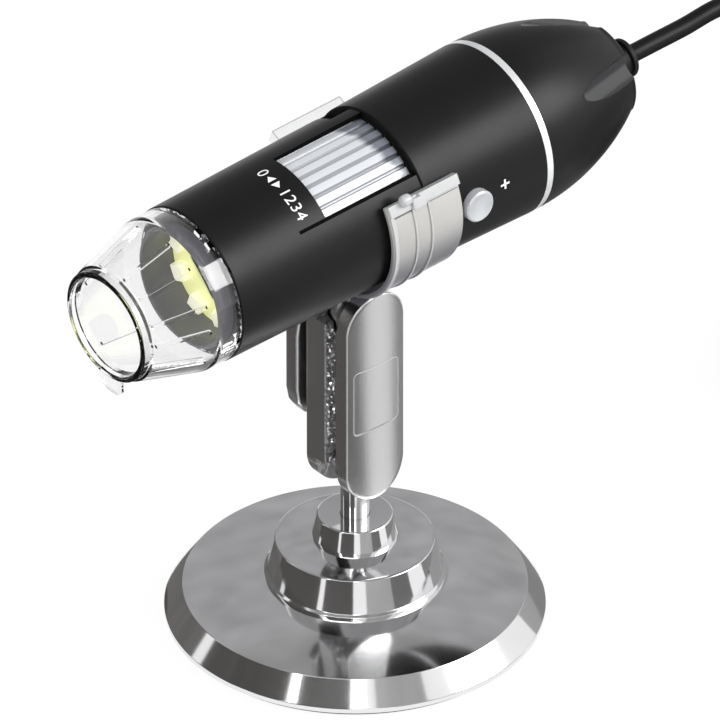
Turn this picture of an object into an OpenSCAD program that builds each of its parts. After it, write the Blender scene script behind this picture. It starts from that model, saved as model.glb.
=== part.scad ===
// Handheld digital microscope on a chrome stand with a ball-jointed clamp arm.
// Frame: +Z up, origin on the table at the centre of the base. The scope's nose
// points towards -Y and its cable leaves towards +Y. Sizes are in millimetres.

/* [Base] */
// Outer diameter of the weighted disc
base_d = 69.8; // [60:0.2:90]
// Diameter at the edge of the disc's domed top
base_top_d = 63.2; // [50:0.2:66]
// Height of the edge of the disc's top, without its pad
base_h = 5.5; // [4.5:0.1:10]
// Rise of the disc's domed top from its edge to the hub
base_crown_h = 2.5; // [1:0.1:3]
// Height of the upright lip below the bevel
base_lip_h = 1.1; // [0.6:0.1:3]
// Thickness of the soft pad under the disc
pad_h = 1; // [0.6:0.1:2]
// Distance from the lip to the edge of the pad
pad_inset = 1.2; // [0.4:0.1:4]

/* [Hub and post] */
// Diameter at the foot of the hub
hub_d = 33.2; // [28:0.2:45]
// Diameter at the top of the hub
hub_top_d = 29.3; // [24:0.2:32]
// Height of the hub's edge above the edge of the disc's top
hub_h = 9.9; // [6:0.1:14]
// Rise of the hub's domed top from its edge to the collar
hub_crown_h = 0.8; // [0.3:0.1:1.2]
// Diameter at the foot of the collar
collar_d = 15.7; // [12:0.1:20]
// Diameter at the top of the collar
collar_top_d = 13.9; // [9:0.1:15]
// Height of the collar's top above the hub's edge
collar_h = 5.4; // [3:0.1:9]
// Diameter of the post
post_d = 5.4; // [4:0.1:6]
// Height of the lower ball's centre above the edge of the disc's top
lower_ball_h = 28.5; // [24:0.5:40]
// Diameter of the retaining screw's head
base_screw_head_d = 9; // [7:0.5:12]
// Height of the retaining screw's head
base_screw_head_h = 2; // [1:0.1:3]
// Diameter of the retaining screw's shank
base_screw_d = 3; // [2:0.5:3.5]
// Length of the retaining screw's shank
base_screw_l = 8; // [5:0.5:14]

/* [Clamp arm] */
// Distance between the two balls
arm_pitch = 30.5; // [26:0.5:45]
// Width of the arm
arm_w = 13.6; // [12:0.1:18]
// Thickness of the arm from face to face
arm_t = 12.6; // [11.5:0.1:16]
// Gap between the two halves
arm_gap = 2.8; // [1.6:0.1:3.2]
// Distance from the balls to the middle of the gap, towards the near face
arm_split = 1.1; // [0:0.1:1.4]
// Radius of the crown across each face
arm_crown_r = 40; // [25:1:80]
// Diameter of both balls
ball_d = 9.2; // [8:0.1:10]
// Diameter of the stud's neck above the upper ball
neck_d = 5; // [3.5:0.1:5.4]
// Width of the recessed panel on the near face
panel_w = 10.5; // [6:0.5:11]
// Height of the recessed panel
panel_h = 13.5; // [8:0.5:16]
// Thickness of the panel
panel_t = 0.6; // [0.4:0.1:1]
// Depth of the panel below the face round it
panel_sink = 0.15; // [0.05:0.05:0.4]
// Width of the clamp knob
knob_w = 16; // [12:0.5:18]
// Height of the clamp knob
knob_h = 27; // [20:0.5:30]
// How far the knob's middle lies above its bolt
knob_rise = 3.6; // [0:0.1:5]
// Radius of the knob's corners
knob_corner = 7.5; // [3:0.5:7.5]
// Thickness of the clamp knob
knob_t = 3.2; // [2:0.1:6]
// Diameter of the clamp bolt
bolt_d = 4; // [3:0.1:5]
// Diameter of the clamp washer
washer_d = 9; // [7:0.5:12]
// Thickness of the clamp washer
washer_t = 0.6; // [0.4:0.1:1.2]

/* [Cradle] */
// Gap between the top of the arm and the cradle
arm_clear = 0.5; // [0.4:0.1:4]
// Tilt of the scope, tail up, in degrees
rest_tilt = 3; // [0:0.5:10]
// Where the cradle starts along the scope, from the stud
cradle_front = -4.2; // [-8:0.1:-3.5]
// Length of the cradle along the scope
cradle_l = 16.5; // [12:0.1:16.6]
// Wall of the cradle
cradle_wall = 0.9; // [0.6:0.1:0.9]
// Angle from the top to the edge of each lip
lip_angle = 62; // [55:1:72]
// Angle that a lip's flange takes
lip_span = 8; // [5:1:10]
// How far a lip's flange stands out
lip_out = 1.3; // [0.8:0.1:3]
// Width of the rim along the cradle's front
rim_l = 1.2; // [0.6:0.1:2]
// Distance from the cradle's front to its first rib
rib_at = 5.2; // [3:0.1:7]
// Distance from the first rib to the second
rib_gap = 3.6; // [2:0.1:6]
// Width of a rib
rib_l = 0.6; // [0.4:0.1:1]
// Height of the rim and the ribs
rib_out = 0.3; // [0.2:0.05:0.4]
// Angle from the top to the lower end of the rim and the ribs
rib_end_angle = 150; // [110:1:155]
// How much thinner the cradle is between its wings, over the arm
saddle_drop = 0.1; // [0.05:0.05:0.2]
// Diameter of the round catch on a lip
catch_d = 2.2; // [1.5:0.1:3]
// Distance from the cradle's front to the catch
catch_at = 2.4; // [1:0.1:5]
// Length of the catch
catch_l = 3; // [2:0.1:4]
// Distance from the ends of a lip's flange to the ends of the cradle
lip_inset = 0.2; // [0.1:0.1:1]

/* [Scope body] */
// Where the front barrel starts, from the stud
barrel_front = -38; // [-42:0.5:-34]
// Length of the front barrel
barrel_l = 43.7; // [41.5:0.1:44]
// Diameter of the front barrel at its nose end
barrel_front_d = 30.7; // [30.4:0.1:31.4]
// Diameter of the front barrel at its rear end
barrel_back_d = 31.8; // [31.6:0.1:32]
// Wall of the front barrel ahead of the focus wheel
barrel_wall = 1.6; // [1:0.1:2]
// Thickness of the web that holds the lens hood
web_t = 1.6; // [1:0.1:3]
// Length of the rear shell
shell_l = 27; // [22:0.5:32]
// Diameter of the rear shell at its front end
shell_front_d = 32.4; // [32.2:0.1:32.6]
// Diameter of the rear shell, the trim ring and the tail where they meet
shell_back_d = 34; // [33:0.1:36]
// Wall of the rear shell at its front end
shell_wall = 1.6; // [1:0.1:1.8]
// Length of the trim ring
trim_l = 1.45; // [0.8:0.05:3]

/* [Nose] */
// Length of the clear nose cap
nose_l = 19.6; // [16:0.1:24]
// Length of its straight part
nose_straight_l = 4.7; // [3:0.1:6]
// Diameter of its straight part
nose_d = 30.4; // [29.8:0.1:30.6]
// Diameter at its front edge
nose_front_d = 21.8; // [20:0.1:24]
// Wall of the nose cap
nose_wall = 1.5; // [1:0.1:1.6]
// Width of the finger tab under the front edge
tab_w = 5; // [3:0.1:8]
// How far the finger tab hangs down
tab_drop = 3.6; // [2:0.1:5]
// Thickness of the finger tab
tab_t = 1.5; // [1:0.1:3]
// Diameter of the cup-shaped lens hood
hood_d = 23.8; // [22:0.1:24]
// Wall of the lens hood
hood_wall = 0.8; // [0.6:0.1:1.2]
// How far the lens hood stands out of the barrel
hood_out = 2.4; // [1.5:0.1:4]
// Length of the lens hood inside the barrel
hood_in = 7; // [6:0.1:9]
// Diameter of the hole that the lens looks through, in the lamp board
lens_hole_d = 9.6; // [8:0.1:11]
// Number of lamps in the hood
lamp_count = 8; // [6:1:8]
// Width of a lamp round the ring
lamp_w = 3.4; // [2:0.1:3.6]
// Size of a lamp across the ring
lamp_r = 2.8; // [2:0.1:3]
// Height of a lamp
lamp_h = 1.8; // [1:0.1:3]
// Thickness of the lamp board
lamp_board_t = 1.2; // [0.8:0.1:2]

/* [Tail] */
// Length of the rounded tail cap
tail_l = 26.35; // [24:0.05:30]
// Diameter of the tail's end before its edge is rounded
tail_end_d = 18.3; // [17:0.1:22]
// Radius of the rounded edge at the tail's end
tail_edge_r = 0.8; // [0.4:0.1:1.5]
// Wall of the tail cap
tail_wall = 2.4; // [1.8:0.1:3]
// Number of flutes round the tail
flute_count = 5; // [3:1:6]
// Angle of the first flute from the top
flute_angle = 59; // [0:1:71]
// Length of a flute
flute_l = 14.2; // [10:0.1:16]
// Width of a flute at the tail's end
flute_w = 4.6; // [3:0.1:6]
// Depth of a flute at the tail's end
flute_depth = 1; // [0.6:0.1:1.4]
// Diameter of the cable grommet
grommet_d = 7.6; // [6:0.1:10]
// Length of the cable grommet behind the tail
grommet_l = 5.5; // [4:0.1:9]
// Width of the groove round the grommet
grommet_groove = 1.1; // [0.6:0.1:1.6]
// Depth of that groove
groove_depth = 0.6; // [0.3:0.1:1]

/* [Focus] */
// Length of the focus wheel
wheel_l = 21.2; // [16:0.1:21.4]
// Diameter of the focus wheel over its ribs
wheel_d = 29.2; // [28.6:0.1:29.4]
// Depth of the grooves between the ribs
rib_depth = 0.5; // [0.3:0.1:0.7]
// Number of ribs round the focus wheel
rib_count = 40; // [30:1:60]
// Wall of the focus wheel under its ribs
wheel_wall = 1.3; // [1:0.1:1.6]
// Angle that the window over the wheel takes
window_span = 62; // [50:1:70]
// Angle from the top to the middle of the window
window_angle = 22; // [10:0.5:25]
// Length of the rim ahead of the window, over the wheel's front edge
window_rim = 0.5; // [0.3:0.1:1]
// Length of the slit that runs on ahead of the window
slit_l = 6.2; // [2:0.1:8]
// Angle that the slit takes
slit_span = 2.5; // [2:0.5:6]
// Length of the notch in the far rail of the window
notch_l = 4.8; // [3:0.1:8]
// Angle from the top to the end of the notch, on the far side
notch_angle = -52; // [-60:1:-30]
// Angle that the notch leaves of the rail beside the window
rail_span = 11; // [8:0.5:14]
// Wall of the chassis tube
chassis_wall = 1.5; // [1:0.1:2]
// Length of the chassis tube ahead of the focus wheel
chassis_lead = 11; // [9:0.5:11.5]
// Thickness of the chassis flanges
flange_t = 1.6; // [1:0.1:2.4]
// Wall of the lens carriage
carriage_wall = 2; // [1.5:0.1:3]
// Length of the lens carriage
carriage_l = 14; // [12:0.5:16]
// Travel of the lens carriage each way
carriage_travel = 3; // [1:0.5:3.5]
// Diameter of the carriage's guide pin
pin_d = 2; // [1.5:0.1:2.5]
// Thickness of a lens at its edge
lens_edge = 1.2; // [0.8:0.1:2]
// Height of a lens's dome
lens_dome = 1.2; // [0.6:0.1:2]

/* [Electronics] */
// Thickness of both circuit boards
board_t = 1.2; // [0.8:0.1:1.6]
// Width of the image sensor
sensor_w = 7; // [5:0.5:10]
// Height of the image sensor
sensor_h = 1; // [0.6:0.1:1.2]
// Width of the main board
main_w = 20; // [14:0.5:22]
// Length of the main board
main_l = 34; // [28:0.5:36]
// Distance from the stud to the buttons
button_at = 16.1; // [15.8:0.1:18]
// Diameter of a button
button_d = 6.2; // [5:0.1:7]
// How far a button stands out of the shell
button_out = 1.4; // [1:0.1:2]
// Travel of a button
button_travel = 0.6; // [0.3:0.1:0.8]
// Width of a switch behind a button
switch_w = 5; // [4:0.1:6]
// Height of a switch
switch_h = 2.3; // [1.5:0.1:4]

/* [Cable] */
// Diameter of the cable
cable_d = 3.5; // [3:0.1:3.8]
// Mean diameter of the coil
coil_d = 41.5; // [35:0.5:42]
// Turns in each layer of the coil
coil_turns = 2.5; // [2.5:1:2.5]
// Layers of the coil
coil_layers = 4; // [4:2:4]
// Distance between neighbouring turns
coil_pitch = 4.1; // [4.1:0.1:4.4]
// Place of the coil's centre across the scope
coil_x = 6; // [0:1:20]
// Place of the coil's centre along the scope
coil_y = 131; // [126:1:140]
// Width of the tie round the coil
tie_w = 6; // [4:0.5:10]
// Thickness of the tie
tie_t = 0.6; // [0.4:0.1:0.8]
// Width of the plug's grip
plug_w = 15.6; // [14:0.2:18]
// Height of the plug's grip
plug_h = 8; // [7:0.1:10]
// Length of the plug's grip
plug_l = 22; // [18:0.5:30]
// Length of the bare metal shell of the plug
plug_shell_l = 12; // [11:0.1:13]

/* [Fits] */
// Radial gap of a running fit
run_fit = 0.08; // [0.05:0.01:0.1]
// Gap between curved pieces that pass each other
clear = 0.3; // [0.25:0.05:0.4]
// Gap of a piece that is set into a pocket
seat = 0.1; // [0.05:0.05:0.15]
// Gap between the cradle and the widest part of the shell in it
cradle_fit = 0.2; // [0.15:0.05:0.4]
// Gap between the tie and the turns of the coil
tie_gap = 0.2; // [0.1:0.05:0.4]

/* [Hidden] */
// A cut runs this far past the face that it opens
over = 1;
// Gap that keeps the pad's face off the disc's
pad_gap = 0.01;
round_fn = 96;
small_fn = 48;

// Heights in the stand
flat_z = pad_h + base_h;
hub_z = flat_z + hub_h;
hub_foot_z = flat_z + base_crown_h;
collar_z = hub_z + collar_h;
collar_foot_z = hub_z + hub_crown_h;
lower_ball_z = flat_z + lower_ball_h;
upper_ball_z = lower_ball_z + arm_pitch;
arm_mid_z = lower_ball_z + arm_pitch / 2;
bevel_r = base_d / 2;
screw_seat_z = pad_h + base_screw_head_h + seat;
post_hole_d = post_d + 2 * run_fit;

// Sizes of the arm
socket_d = ball_d + 2 * clear;
slot_t = max(post_d, neck_d) + 2 * clear;
half_out = arm_t / 2;
near_in = arm_split + arm_gap / 2;
far_in = arm_split - arm_gap / 2;
panel_floor = half_out - panel_sink - panel_t;
washer_seat = half_out;
washer_x = washer_seat + washer_t;
knob_x = washer_x + seat;
// Metal left between the bolt's hole and the panel's pocket
bolt_floor = 0.8;
bolt_end = panel_floor - bolt_floor;
panel_corner = 1;

// Places along the scope, measured from the stud
nose_front = barrel_front - nose_l;
barrel_back = barrel_front + barrel_l;
shell_back = barrel_back + shell_l;
trim_back = shell_back + trim_l;
tail_back = trim_back + tail_l;
grommet_back = tail_back + grommet_l;

// Radii of the scope
nose_r = nose_d / 2;
nose_bore_r = nose_r - nose_wall;
nose_front_r = nose_front_d / 2;
barrel_bore_r = barrel_front_d / 2 - barrel_wall;
wheel_r = wheel_d / 2;
wheel_bay_r = wheel_r + clear;
shell_bore_r = shell_front_d / 2 - shell_wall;
shell_r = shell_back_d / 2;
tail_bore_r = shell_r - tail_wall;
// Bands that a domed top is turned from
dome_steps = 10;
function dome(edge_r, foot_r, rise, z) = let (
    drop = (pow(edge_r, 2) - pow(foot_r, 2) - pow(rise, 2)) / (2 * rise)
) [for (i = [0 : dome_steps]) let (r = edge_r + (foot_r - edge_r) * i / dome_steps)
    [r, z - drop + sqrt(pow(edge_r, 2) + pow(drop, 2) - pow(r, 2))]];
function shell_at(s) = shell_front_d / 2 + (shell_r - shell_front_d / 2) * (s - barrel_back) / shell_l;
cradle_back = cradle_front + cradle_l;
cradle_ri = max(shell_front_d / 2, shell_at(cradle_back)) + cradle_fit;
cradle_ro = cradle_ri + cradle_wall;
axis_rise = arm_w / 2 + arm_clear + cradle_ro;
hood_r = hood_d / 2;

// The focus wheel and the chassis tube that it turns on
wheel_back = barrel_back - clear;
wheel_front = wheel_back - wheel_l;
bay_front = wheel_front - clear;
window_front = wheel_front + window_rim;
window_edge = window_angle + window_span / 2;
rail_edge = window_angle - window_span / 2 - rail_span;
wheel_ri = wheel_r - rib_depth - wheel_wall;
chassis_r = wheel_ri - run_fit;
chassis_ri = chassis_r - chassis_wall;
chassis_front = wheel_front - chassis_lead;
rear_flange = barrel_back + clear;
chassis_back = rear_flange + flange_t;
carriage_r = chassis_ri - run_fit;
carriage_ri = carriage_r - carriage_wall;
carriage_mid = wheel_front + carriage_l / 2 - chassis_lead / 2;
carriage_front = carriage_mid - carriage_l / 2;
carriage_back = carriage_front + carriage_l;
lens_stop = 1.2;
lens_r = carriage_ri - seat;

// The lamp ring in the nose
hood_front = barrel_front - hood_out;
hood_back = barrel_front + hood_in;
hood_ri = hood_r - hood_wall;
hood_flange_t = 1;
hood_flange_w = 1.6;
hood_flange_r = hood_r + hood_flange_w;
// Ledge at the back of the hood that the lamp board sits on
ledge_t = 0.8;
ledge_w = 3;
board_back = hood_back - ledge_t;
board_front = board_back - lamp_board_t;
// Distance from the hood's wall to the lamps
lamp_inset = 0.9;
lamp_mid_r = hood_ri - seat - lamp_inset - lamp_r / 2;

// The circuit boards
sensor_back = chassis_back + board_t;
main_back = sensor_back + main_l;
sensor_board_gap = 0.6;
sensor_board_r = shell_bore_r - sensor_board_gap;
switch_x = board_t / 2 + switch_h;
stem_gap = 0.2;
stem_d = 2.4;
stem_x = switch_x + stem_gap + button_travel;
button_flange_t = 0.8;
button_flange_w = 0.8;
button_flange_d = button_d + 2 * button_flange_w;
button_top = shell_at(button_at) + button_out;
// The shell's bore is straight round the sensor board and then runs to the tail's bore
function shell_bore_at(s) =
    shell_bore_r + (tail_bore_r - shell_bore_r) * (s - sensor_back) / (shell_back - sensor_back);
button_bore_r = min(shell_bore_r, shell_bore_at(button_at + button_flange_d / 2));
button_flange_x = sqrt(pow(button_bore_r, 2) - pow(button_flange_d / 2, 2)) - clear;

// The tail's curve: an arc that starts along the axis and ends at tail_end_d
tail_drop = shell_r - tail_end_d / 2;
tail_arc_r = (pow(tail_l, 2) + pow(tail_drop, 2)) / (2 * tail_drop);
function tail_r(s) = shell_r - tail_arc_r + sqrt(pow(tail_arc_r, 2) - pow(s - trim_back, 2));
tail_steps = 12;
flute_r = (pow(flute_w / 2, 2) + pow(flute_depth, 2)) / (2 * flute_depth);
flute_front = tail_back - flute_l;

// Where the cable leaves the grommet, in the part's frame
function scope_point(s) = [
    0,
    s * cos(rest_tilt) - axis_rise * sin(rest_tilt),
    upper_ball_z + s * sin(rest_tilt) + axis_rise * cos(rest_tilt)
];
cable_exit = scope_point(grommet_back);
cable_out = [0, cos(rest_tilt), sin(rest_tilt)];

// The coil's tube, from its top layer down to the table
cable_r = cable_d / 2;
coil_lift = tie_t + tie_gap;
loop_rings = 24;
coil_rings = coil_turns * coil_layers * loop_rings;
coil_in_r = coil_d / 2 - coil_turns * coil_pitch / 2;
coil_top_z = coil_lift + cable_r + (coil_layers - 1) * coil_pitch;
coil_start_angle = -90;
function layer_of(k) = k / (coil_turns * loop_rings);
function ease(a) = a <= 0 ? 0 : a >= 1 ? 1 : a * a * (3 - 2 * a);
// The share of the width wound: 0 at the outside, 1 at the inside
function wound(k) = abs((layer_of(k) + 1) % 2 - 1);
// Layers climbed down by ring k, each in the half turn where the spiral reverses
function lowered(k) = let (step = loop_rings / 2, run = coil_turns * loop_rings)
    [for (n = [1 : coil_layers - 1]) ease((k - n * run) / step + 0.5)]
    * [for (n = [1 : coil_layers - 1]) 1];
function coil_point(k) = let (
        r = coil_in_r + coil_turns * coil_pitch * (1 - wound(k)),
        a = coil_start_angle + 360 * k / loop_rings)
    [coil_x + r * cos(a), coil_y + r * sin(a), coil_top_z - coil_pitch * lowered(k)];
coil_path = [for (k = [0 : coil_rings]) coil_point(k)];

// The cable's end beyond the coil: straight, and up to the middle of the plug
coil_end = coil_path[coil_rings];
end_angle = coil_start_angle + 360 * coil_turns * coil_layers + 90;
end_way = [cos(end_angle), sin(end_angle), 0];
plug_mid_z = plug_h / 2;
lead_out = 7;
// Share of the rise to the plug that the first stretch takes
lead_rise = 0.3;
lead_end = coil_end + end_way * 3 * lead_out + [0, 0, plug_mid_z - coil_end[2]];
lead_path = [
    coil_end + end_way * lead_out + [0, 0, (plug_mid_z - coil_end[2]) * lead_rise],
    lead_end - end_way * lead_out,
    lead_end
];
wound_path = concat(coil_path, lead_path);

// The free stretch, from the grommet to the top of the coil
free_path = concat(
    [for (s = [0, 7, 14]) cable_exit + cable_out * s],
    [
        [0, 86, 95.2], [-0.3, 92.6, 94.4], [-1, 98.2, 91], [-2, 102.4, 85.6],
        [-3.2, 104.8, 78.6], [-4.6, 106, 70.5], [-6, 106.4, 62], [-7.4, 106.5, 53.5],
        [-8.7, 106.4, 45], [-9.5, 106.3, 37], [-9.2, 106.2, 30], [-7, 106.1, 23.4],
        [-2.8, 106, 18]
    ],
    [
        coil_path[0] + [-cable_d, 0, cable_d / 7],
        coil_path[0]
    ]
);

// Lengths and the coil's least gap, from the points that draw it
function path_length(p) = [for (i = [1 : len(p) - 1]) norm(p[i] - p[i - 1])]
    * [for (i = [1 : len(p) - 1]) 1];
coil_gap = min([for (i = [0 : len(wound_path) - 1])
    for (j = [i + 12 : 1 : len(wound_path) - 1]) norm(wound_path[i] - wound_path[j])]) - cable_d;
echo(free_cable = path_length(free_path), wound_cable = path_length(wound_path));
echo(least_gap_of_coil = coil_gap);

// Puts a shape that is drawn along +Z, with its top towards -Y, on the scope's axis
module on_scope() {
    translate([0, 0, upper_ball_z])
        rotate([rest_tilt, 0, 0])
            translate([0, 0, axis_rise])
                rotate([-90, 0, 0])
                    children();
}

// Puts a shape that is drawn along +Z on the upper ball, tilted with the scope
module on_ball() {
    translate([0, 0, upper_ball_z])
        rotate([rest_tilt, 0, 0])
            children();
}

// A turned piece from points of radius and place
module turned(points) {
    rotate_extrude($fn = round_fn) polygon(points);
}

// A wedge from the axis between two angles from the top and two places
module wedge(from, to, start, end) {
    reach = 2 * shell_back_d;
    steps = ceil((to - from) / 30);
    translate([0, 0, start]) linear_extrude(end - start) polygon(concat([[0, 0]], [
        for (i = [0 : steps]) let (a = from + (to - from) * i / steps) reach * [sin(a), -cos(a)]
    ]));
}

// A round disc on the axis between two places
module disc(r, start, end) {
    translate([0, 0, start]) cylinder(r = r, h = end - start, $fn = round_fn);
}

// A ring between two radii and two places
module ring(ri, ro, from, to) {
    turned([[ri, from], [ro, from], [ro, to], [ri, to]]);
}

// A bar along +X between two places
module bar_x(from, to, d) {
    translate([from, 0, 0]) rotate([0, 90, 0]) cylinder(d = d, h = to - from, $fn = small_fn);
}

// A flat plate with round corners
module plate(w, h, t, r) {
    least_flat = 0.1;
    corner = min(r, (min(w, h) - least_flat) / 2);
    linear_extrude(t) union() {
        square([w - 2 * corner, h], center = true);
        square([w, h - 2 * corner], center = true);
        for (x = [-1, 1], y = [-1, 1])
            translate([x * (w / 2 - corner), y * (h / 2 - corner)]) circle(corner, $fn = small_fn);
    }
}

// A tube of equal rings along a path, closed at both ends
module tube_along(path, d, sides) {
    last = len(path) - 1;
    points = [for (i = [0 : last])
        let (
            ahead = path[min(i + 1, last)] - path[max(i - 1, 0)],
            way = ahead / norm(ahead),
            up = abs(way[2]) > 0.9 ? [0, 1, 0] : [0, 0, 1],
            side = cross(way, up) / norm(cross(way, up)),
            rise = cross(side, way))
        for (k = [0 : sides - 1])
            path[i] + d / 2 * (side * cos(360 * k / sides) + rise * sin(360 * k / sides))];
    walls = [for (i = [0 : last - 1]) for (k = [0 : sides - 1])
        let (a = i * sides + k, b = i * sides + (k + 1) % sides)
        for (t = [[a, a + sides, b], [b, a + sides, b + sides]]) t];
    caps = [for (k = [1 : sides - 2])
        for (t = [[0, k, k + 1], [last * sides, last * sides + k + 1, last * sides + k]]) t];
    polyhedron(points, concat(walls, caps));
}

// Weighted disc with a bevelled edge, bored for the post and its screw
module base_disc() {
    color("silver") difference() {
        turned(concat(
            [[0, pad_h], [bevel_r, pad_h], [bevel_r, pad_h + base_lip_h]],
            dome(base_top_d / 2, hub_d / 2, base_crown_h, flat_z), [[0, hub_foot_z]]
        ));
        cylinder(d = post_hole_d, h = hub_foot_z + over, $fn = small_fn);
        cylinder(d = base_screw_head_d + 2 * clear, h = screw_seat_z, $fn = small_fn);
    }
}

// Soft pad that covers the underside
module base_pad() {
    color("dimgray") cylinder(d = base_d - 2 * pad_inset, h = pad_h - pad_gap, $fn = round_fn);
}

// Domed hub on the disc
module hub_tier() {
    color("silver") difference() {
        turned(concat(
            [[0, hub_foot_z], [hub_d / 2, hub_foot_z]],
            dome(hub_top_d / 2, collar_d / 2, hub_crown_h, hub_z), [[0, collar_foot_z]]
        ));
        translate([0, 0, hub_foot_z - over])
            cylinder(d = post_hole_d, h = collar_foot_z - hub_foot_z + 2 * over, $fn = small_fn);
    }
}

// Flared collar round the foot of the post
module post_collar() {
    color("silver") difference() {
        translate([0, 0, collar_foot_z])
            cylinder(d1 = collar_d, d2 = collar_top_d, h = collar_z - collar_foot_z, $fn = round_fn);
        translate([0, 0, collar_foot_z - over])
            cylinder(d = post_hole_d, h = collar_z - collar_foot_z + 2 * over, $fn = small_fn);
    }
}

// Post with the lower ball on its end, tapped for its screw
module post() {
    foot = screw_seat_z - seat;
    color("gainsboro") difference() {
        union() {
            translate([0, 0, foot])
                cylinder(d = post_d, h = lower_ball_z - foot, $fn = small_fn);
            translate([0, 0, lower_ball_z]) sphere(d = ball_d, $fn = small_fn);
        }
        translate([0, 0, foot - over])
            cylinder(d = base_screw_d, h = base_screw_l + over, $fn = small_fn);
    }
}

// Screw and head that keep the post in the base
module base_screw() {
    head_z = screw_seat_z - seat - base_screw_head_h;
    color("darkgray") translate([0, 0, head_z]) {
        cylinder(d = base_screw_head_d, h = base_screw_head_h, $fn = small_fn);
        cylinder(d = base_screw_d, h = base_screw_head_h + base_screw_l, $fn = small_fn);
    }
}

// The arm's long outline, as a block from one X to another
module arm_block(from, to) {
    for (z = [lower_ball_z, upper_ball_z])
        translate([0, 0, z]) bar_x(from, to, arm_w);
    translate([from, -arm_w / 2, lower_ball_z]) cube([to - from, arm_w, arm_pitch]);
}

// A crown across the arm whose highest line is at X = top
module arm_crown(top) {
    translate([top - arm_crown_r, 0, lower_ball_z - arm_w])
        cylinder(r = arm_crown_r, h = arm_pitch + 2 * arm_w, $fn = round_fn);
}

// Sockets for both balls and the slots that their necks swing in
module arm_sockets() {
    for (z = [lower_ball_z, upper_ball_z])
        translate([0, 0, z]) sphere(d = socket_d, $fn = small_fn);
    for (z = [lower_ball_z - arm_w, upper_ball_z])
        translate([-slot_t / 2, -arm_w, z]) cube([slot_t, 2 * arm_w, arm_w]);
}

// Near half of the arm, with the panel's pocket and the bolt's blind hole
module arm_near_half() {
    color("lightgray") difference() {
        intersection() {
            arm_block(near_in, half_out);
            arm_crown(half_out);
        }
        arm_sockets();
        translate([panel_floor, 0, arm_mid_z]) rotate([90, 0, 90])
            plate(panel_w + 2 * seat, panel_h + 2 * seat, arm_t, panel_corner + seat);
        translate([0, 0, arm_mid_z]) bar_x(0, bolt_end + seat, bolt_d + 2 * run_fit);
    }
}

// Far half of the arm, with a flat seat for the washer
module arm_far_half() {
    color("lightgray") difference() {
        union() {
            intersection() {
                arm_block(-half_out, far_in);
                mirror([1, 0, 0]) arm_crown(half_out);
            }
            translate([0, 0, arm_mid_z]) bar_x(-washer_seat, far_in - over, washer_d);
        }
        arm_sockets();
        translate([0, 0, arm_mid_z])
            bar_x(-arm_t, over, bolt_d + 2 * clear);
    }
}

// Recessed plain panel on the near face
module arm_panel() {
    color("whitesmoke") intersection() {
        translate([panel_floor, 0, arm_mid_z]) rotate([90, 0, 90])
            plate(panel_w, panel_h, arm_t, panel_corner);
        arm_crown(half_out - panel_sink);
    }
}

// Paddle-shaped knob that tightens the arm
module clamp_knob() {
    color("silver") translate([-knob_x, 0, arm_mid_z]) rotate([90, 0, -90]) difference() {
        translate([0, knob_rise, 0]) plate(knob_w, knob_h, knob_t, knob_corner);
        translate([0, 0, -over]) cylinder(d = bolt_d, h = knob_t + 2 * over, $fn = small_fn);
    }
}

// Bolt that turns with the knob
module clamp_bolt() {
    color("darkgray") translate([0, 0, arm_mid_z]) bar_x(-knob_x - knob_t, bolt_end, bolt_d);
}

// Washer between the knob and the far half
module clamp_washer() {
    color("gray") translate([-washer_x, 0, arm_mid_z]) rotate([0, 90, 0])
        ring(bolt_d / 2 + clear, washer_d / 2, 0, washer_t);
}

// Upper ball with its neck and the spigot that the cradle turns on
module ball_stud() {
    color("gainsboro") on_ball() {
        sphere(d = ball_d, $fn = small_fn);
        cylinder(d = neck_d, h = axis_rise - cradle_ro - clear, $fn = small_fn);
        cylinder(d = neck_d / 2, h = axis_rise - cradle_ri - seat, $fn = small_fn);
    }
}

// Open C clip with a rim, two ribs and a flanged lip on each wing
module cradle() {
    rib_ro = cradle_ro + rib_out;
    ribs = [
        [cradle_front + lip_inset, rim_l], [cradle_front + rib_at, rib_l],
        [cradle_front + rib_at + rib_gap, rib_l]
    ];
    color("whitesmoke") on_scope() {
        difference() {
            union() {
                disc(cradle_ro - saddle_drop, cradle_front, cradle_back);
                for (side = [-1, 1]) mirror([side < 0 ? 1 : 0, 0, 0]) {
                    intersection() {
                        disc(cradle_ro, cradle_front, cradle_back);
                        wedge(lip_angle - lip_span, rib_end_angle, cradle_front - over, cradle_back + over);
                    }
                    intersection() {
                        disc(cradle_ro + lip_out, cradle_front + lip_inset, cradle_back - lip_inset);
                        wedge(lip_angle - lip_span, lip_angle + lip_span, cradle_front, cradle_back);
                    }
                    intersection() {
                        for (rib = ribs) disc(rib_ro, rib[0], rib[0] + rib[1]);
                        wedge(lip_angle - lip_span, rib_end_angle, cradle_front, cradle_back);
                    }
                }
            }
            disc(cradle_ri, cradle_front - over, cradle_back + over);
            wedge(-lip_angle, lip_angle, cradle_front - over, cradle_back + over);
            rotate([-90, 0, 0])
                cylinder(d = neck_d / 2 + 2 * run_fit, h = axis_rise, $fn = small_fn);
        }
        for (side = [-1, 1]) rotate([0, 0, side * lip_angle])
            translate([0, -cradle_ro - lip_out, cradle_front + catch_at])
                cylinder(d = catch_d, h = catch_l, $fn = small_fn);
    }
}

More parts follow.
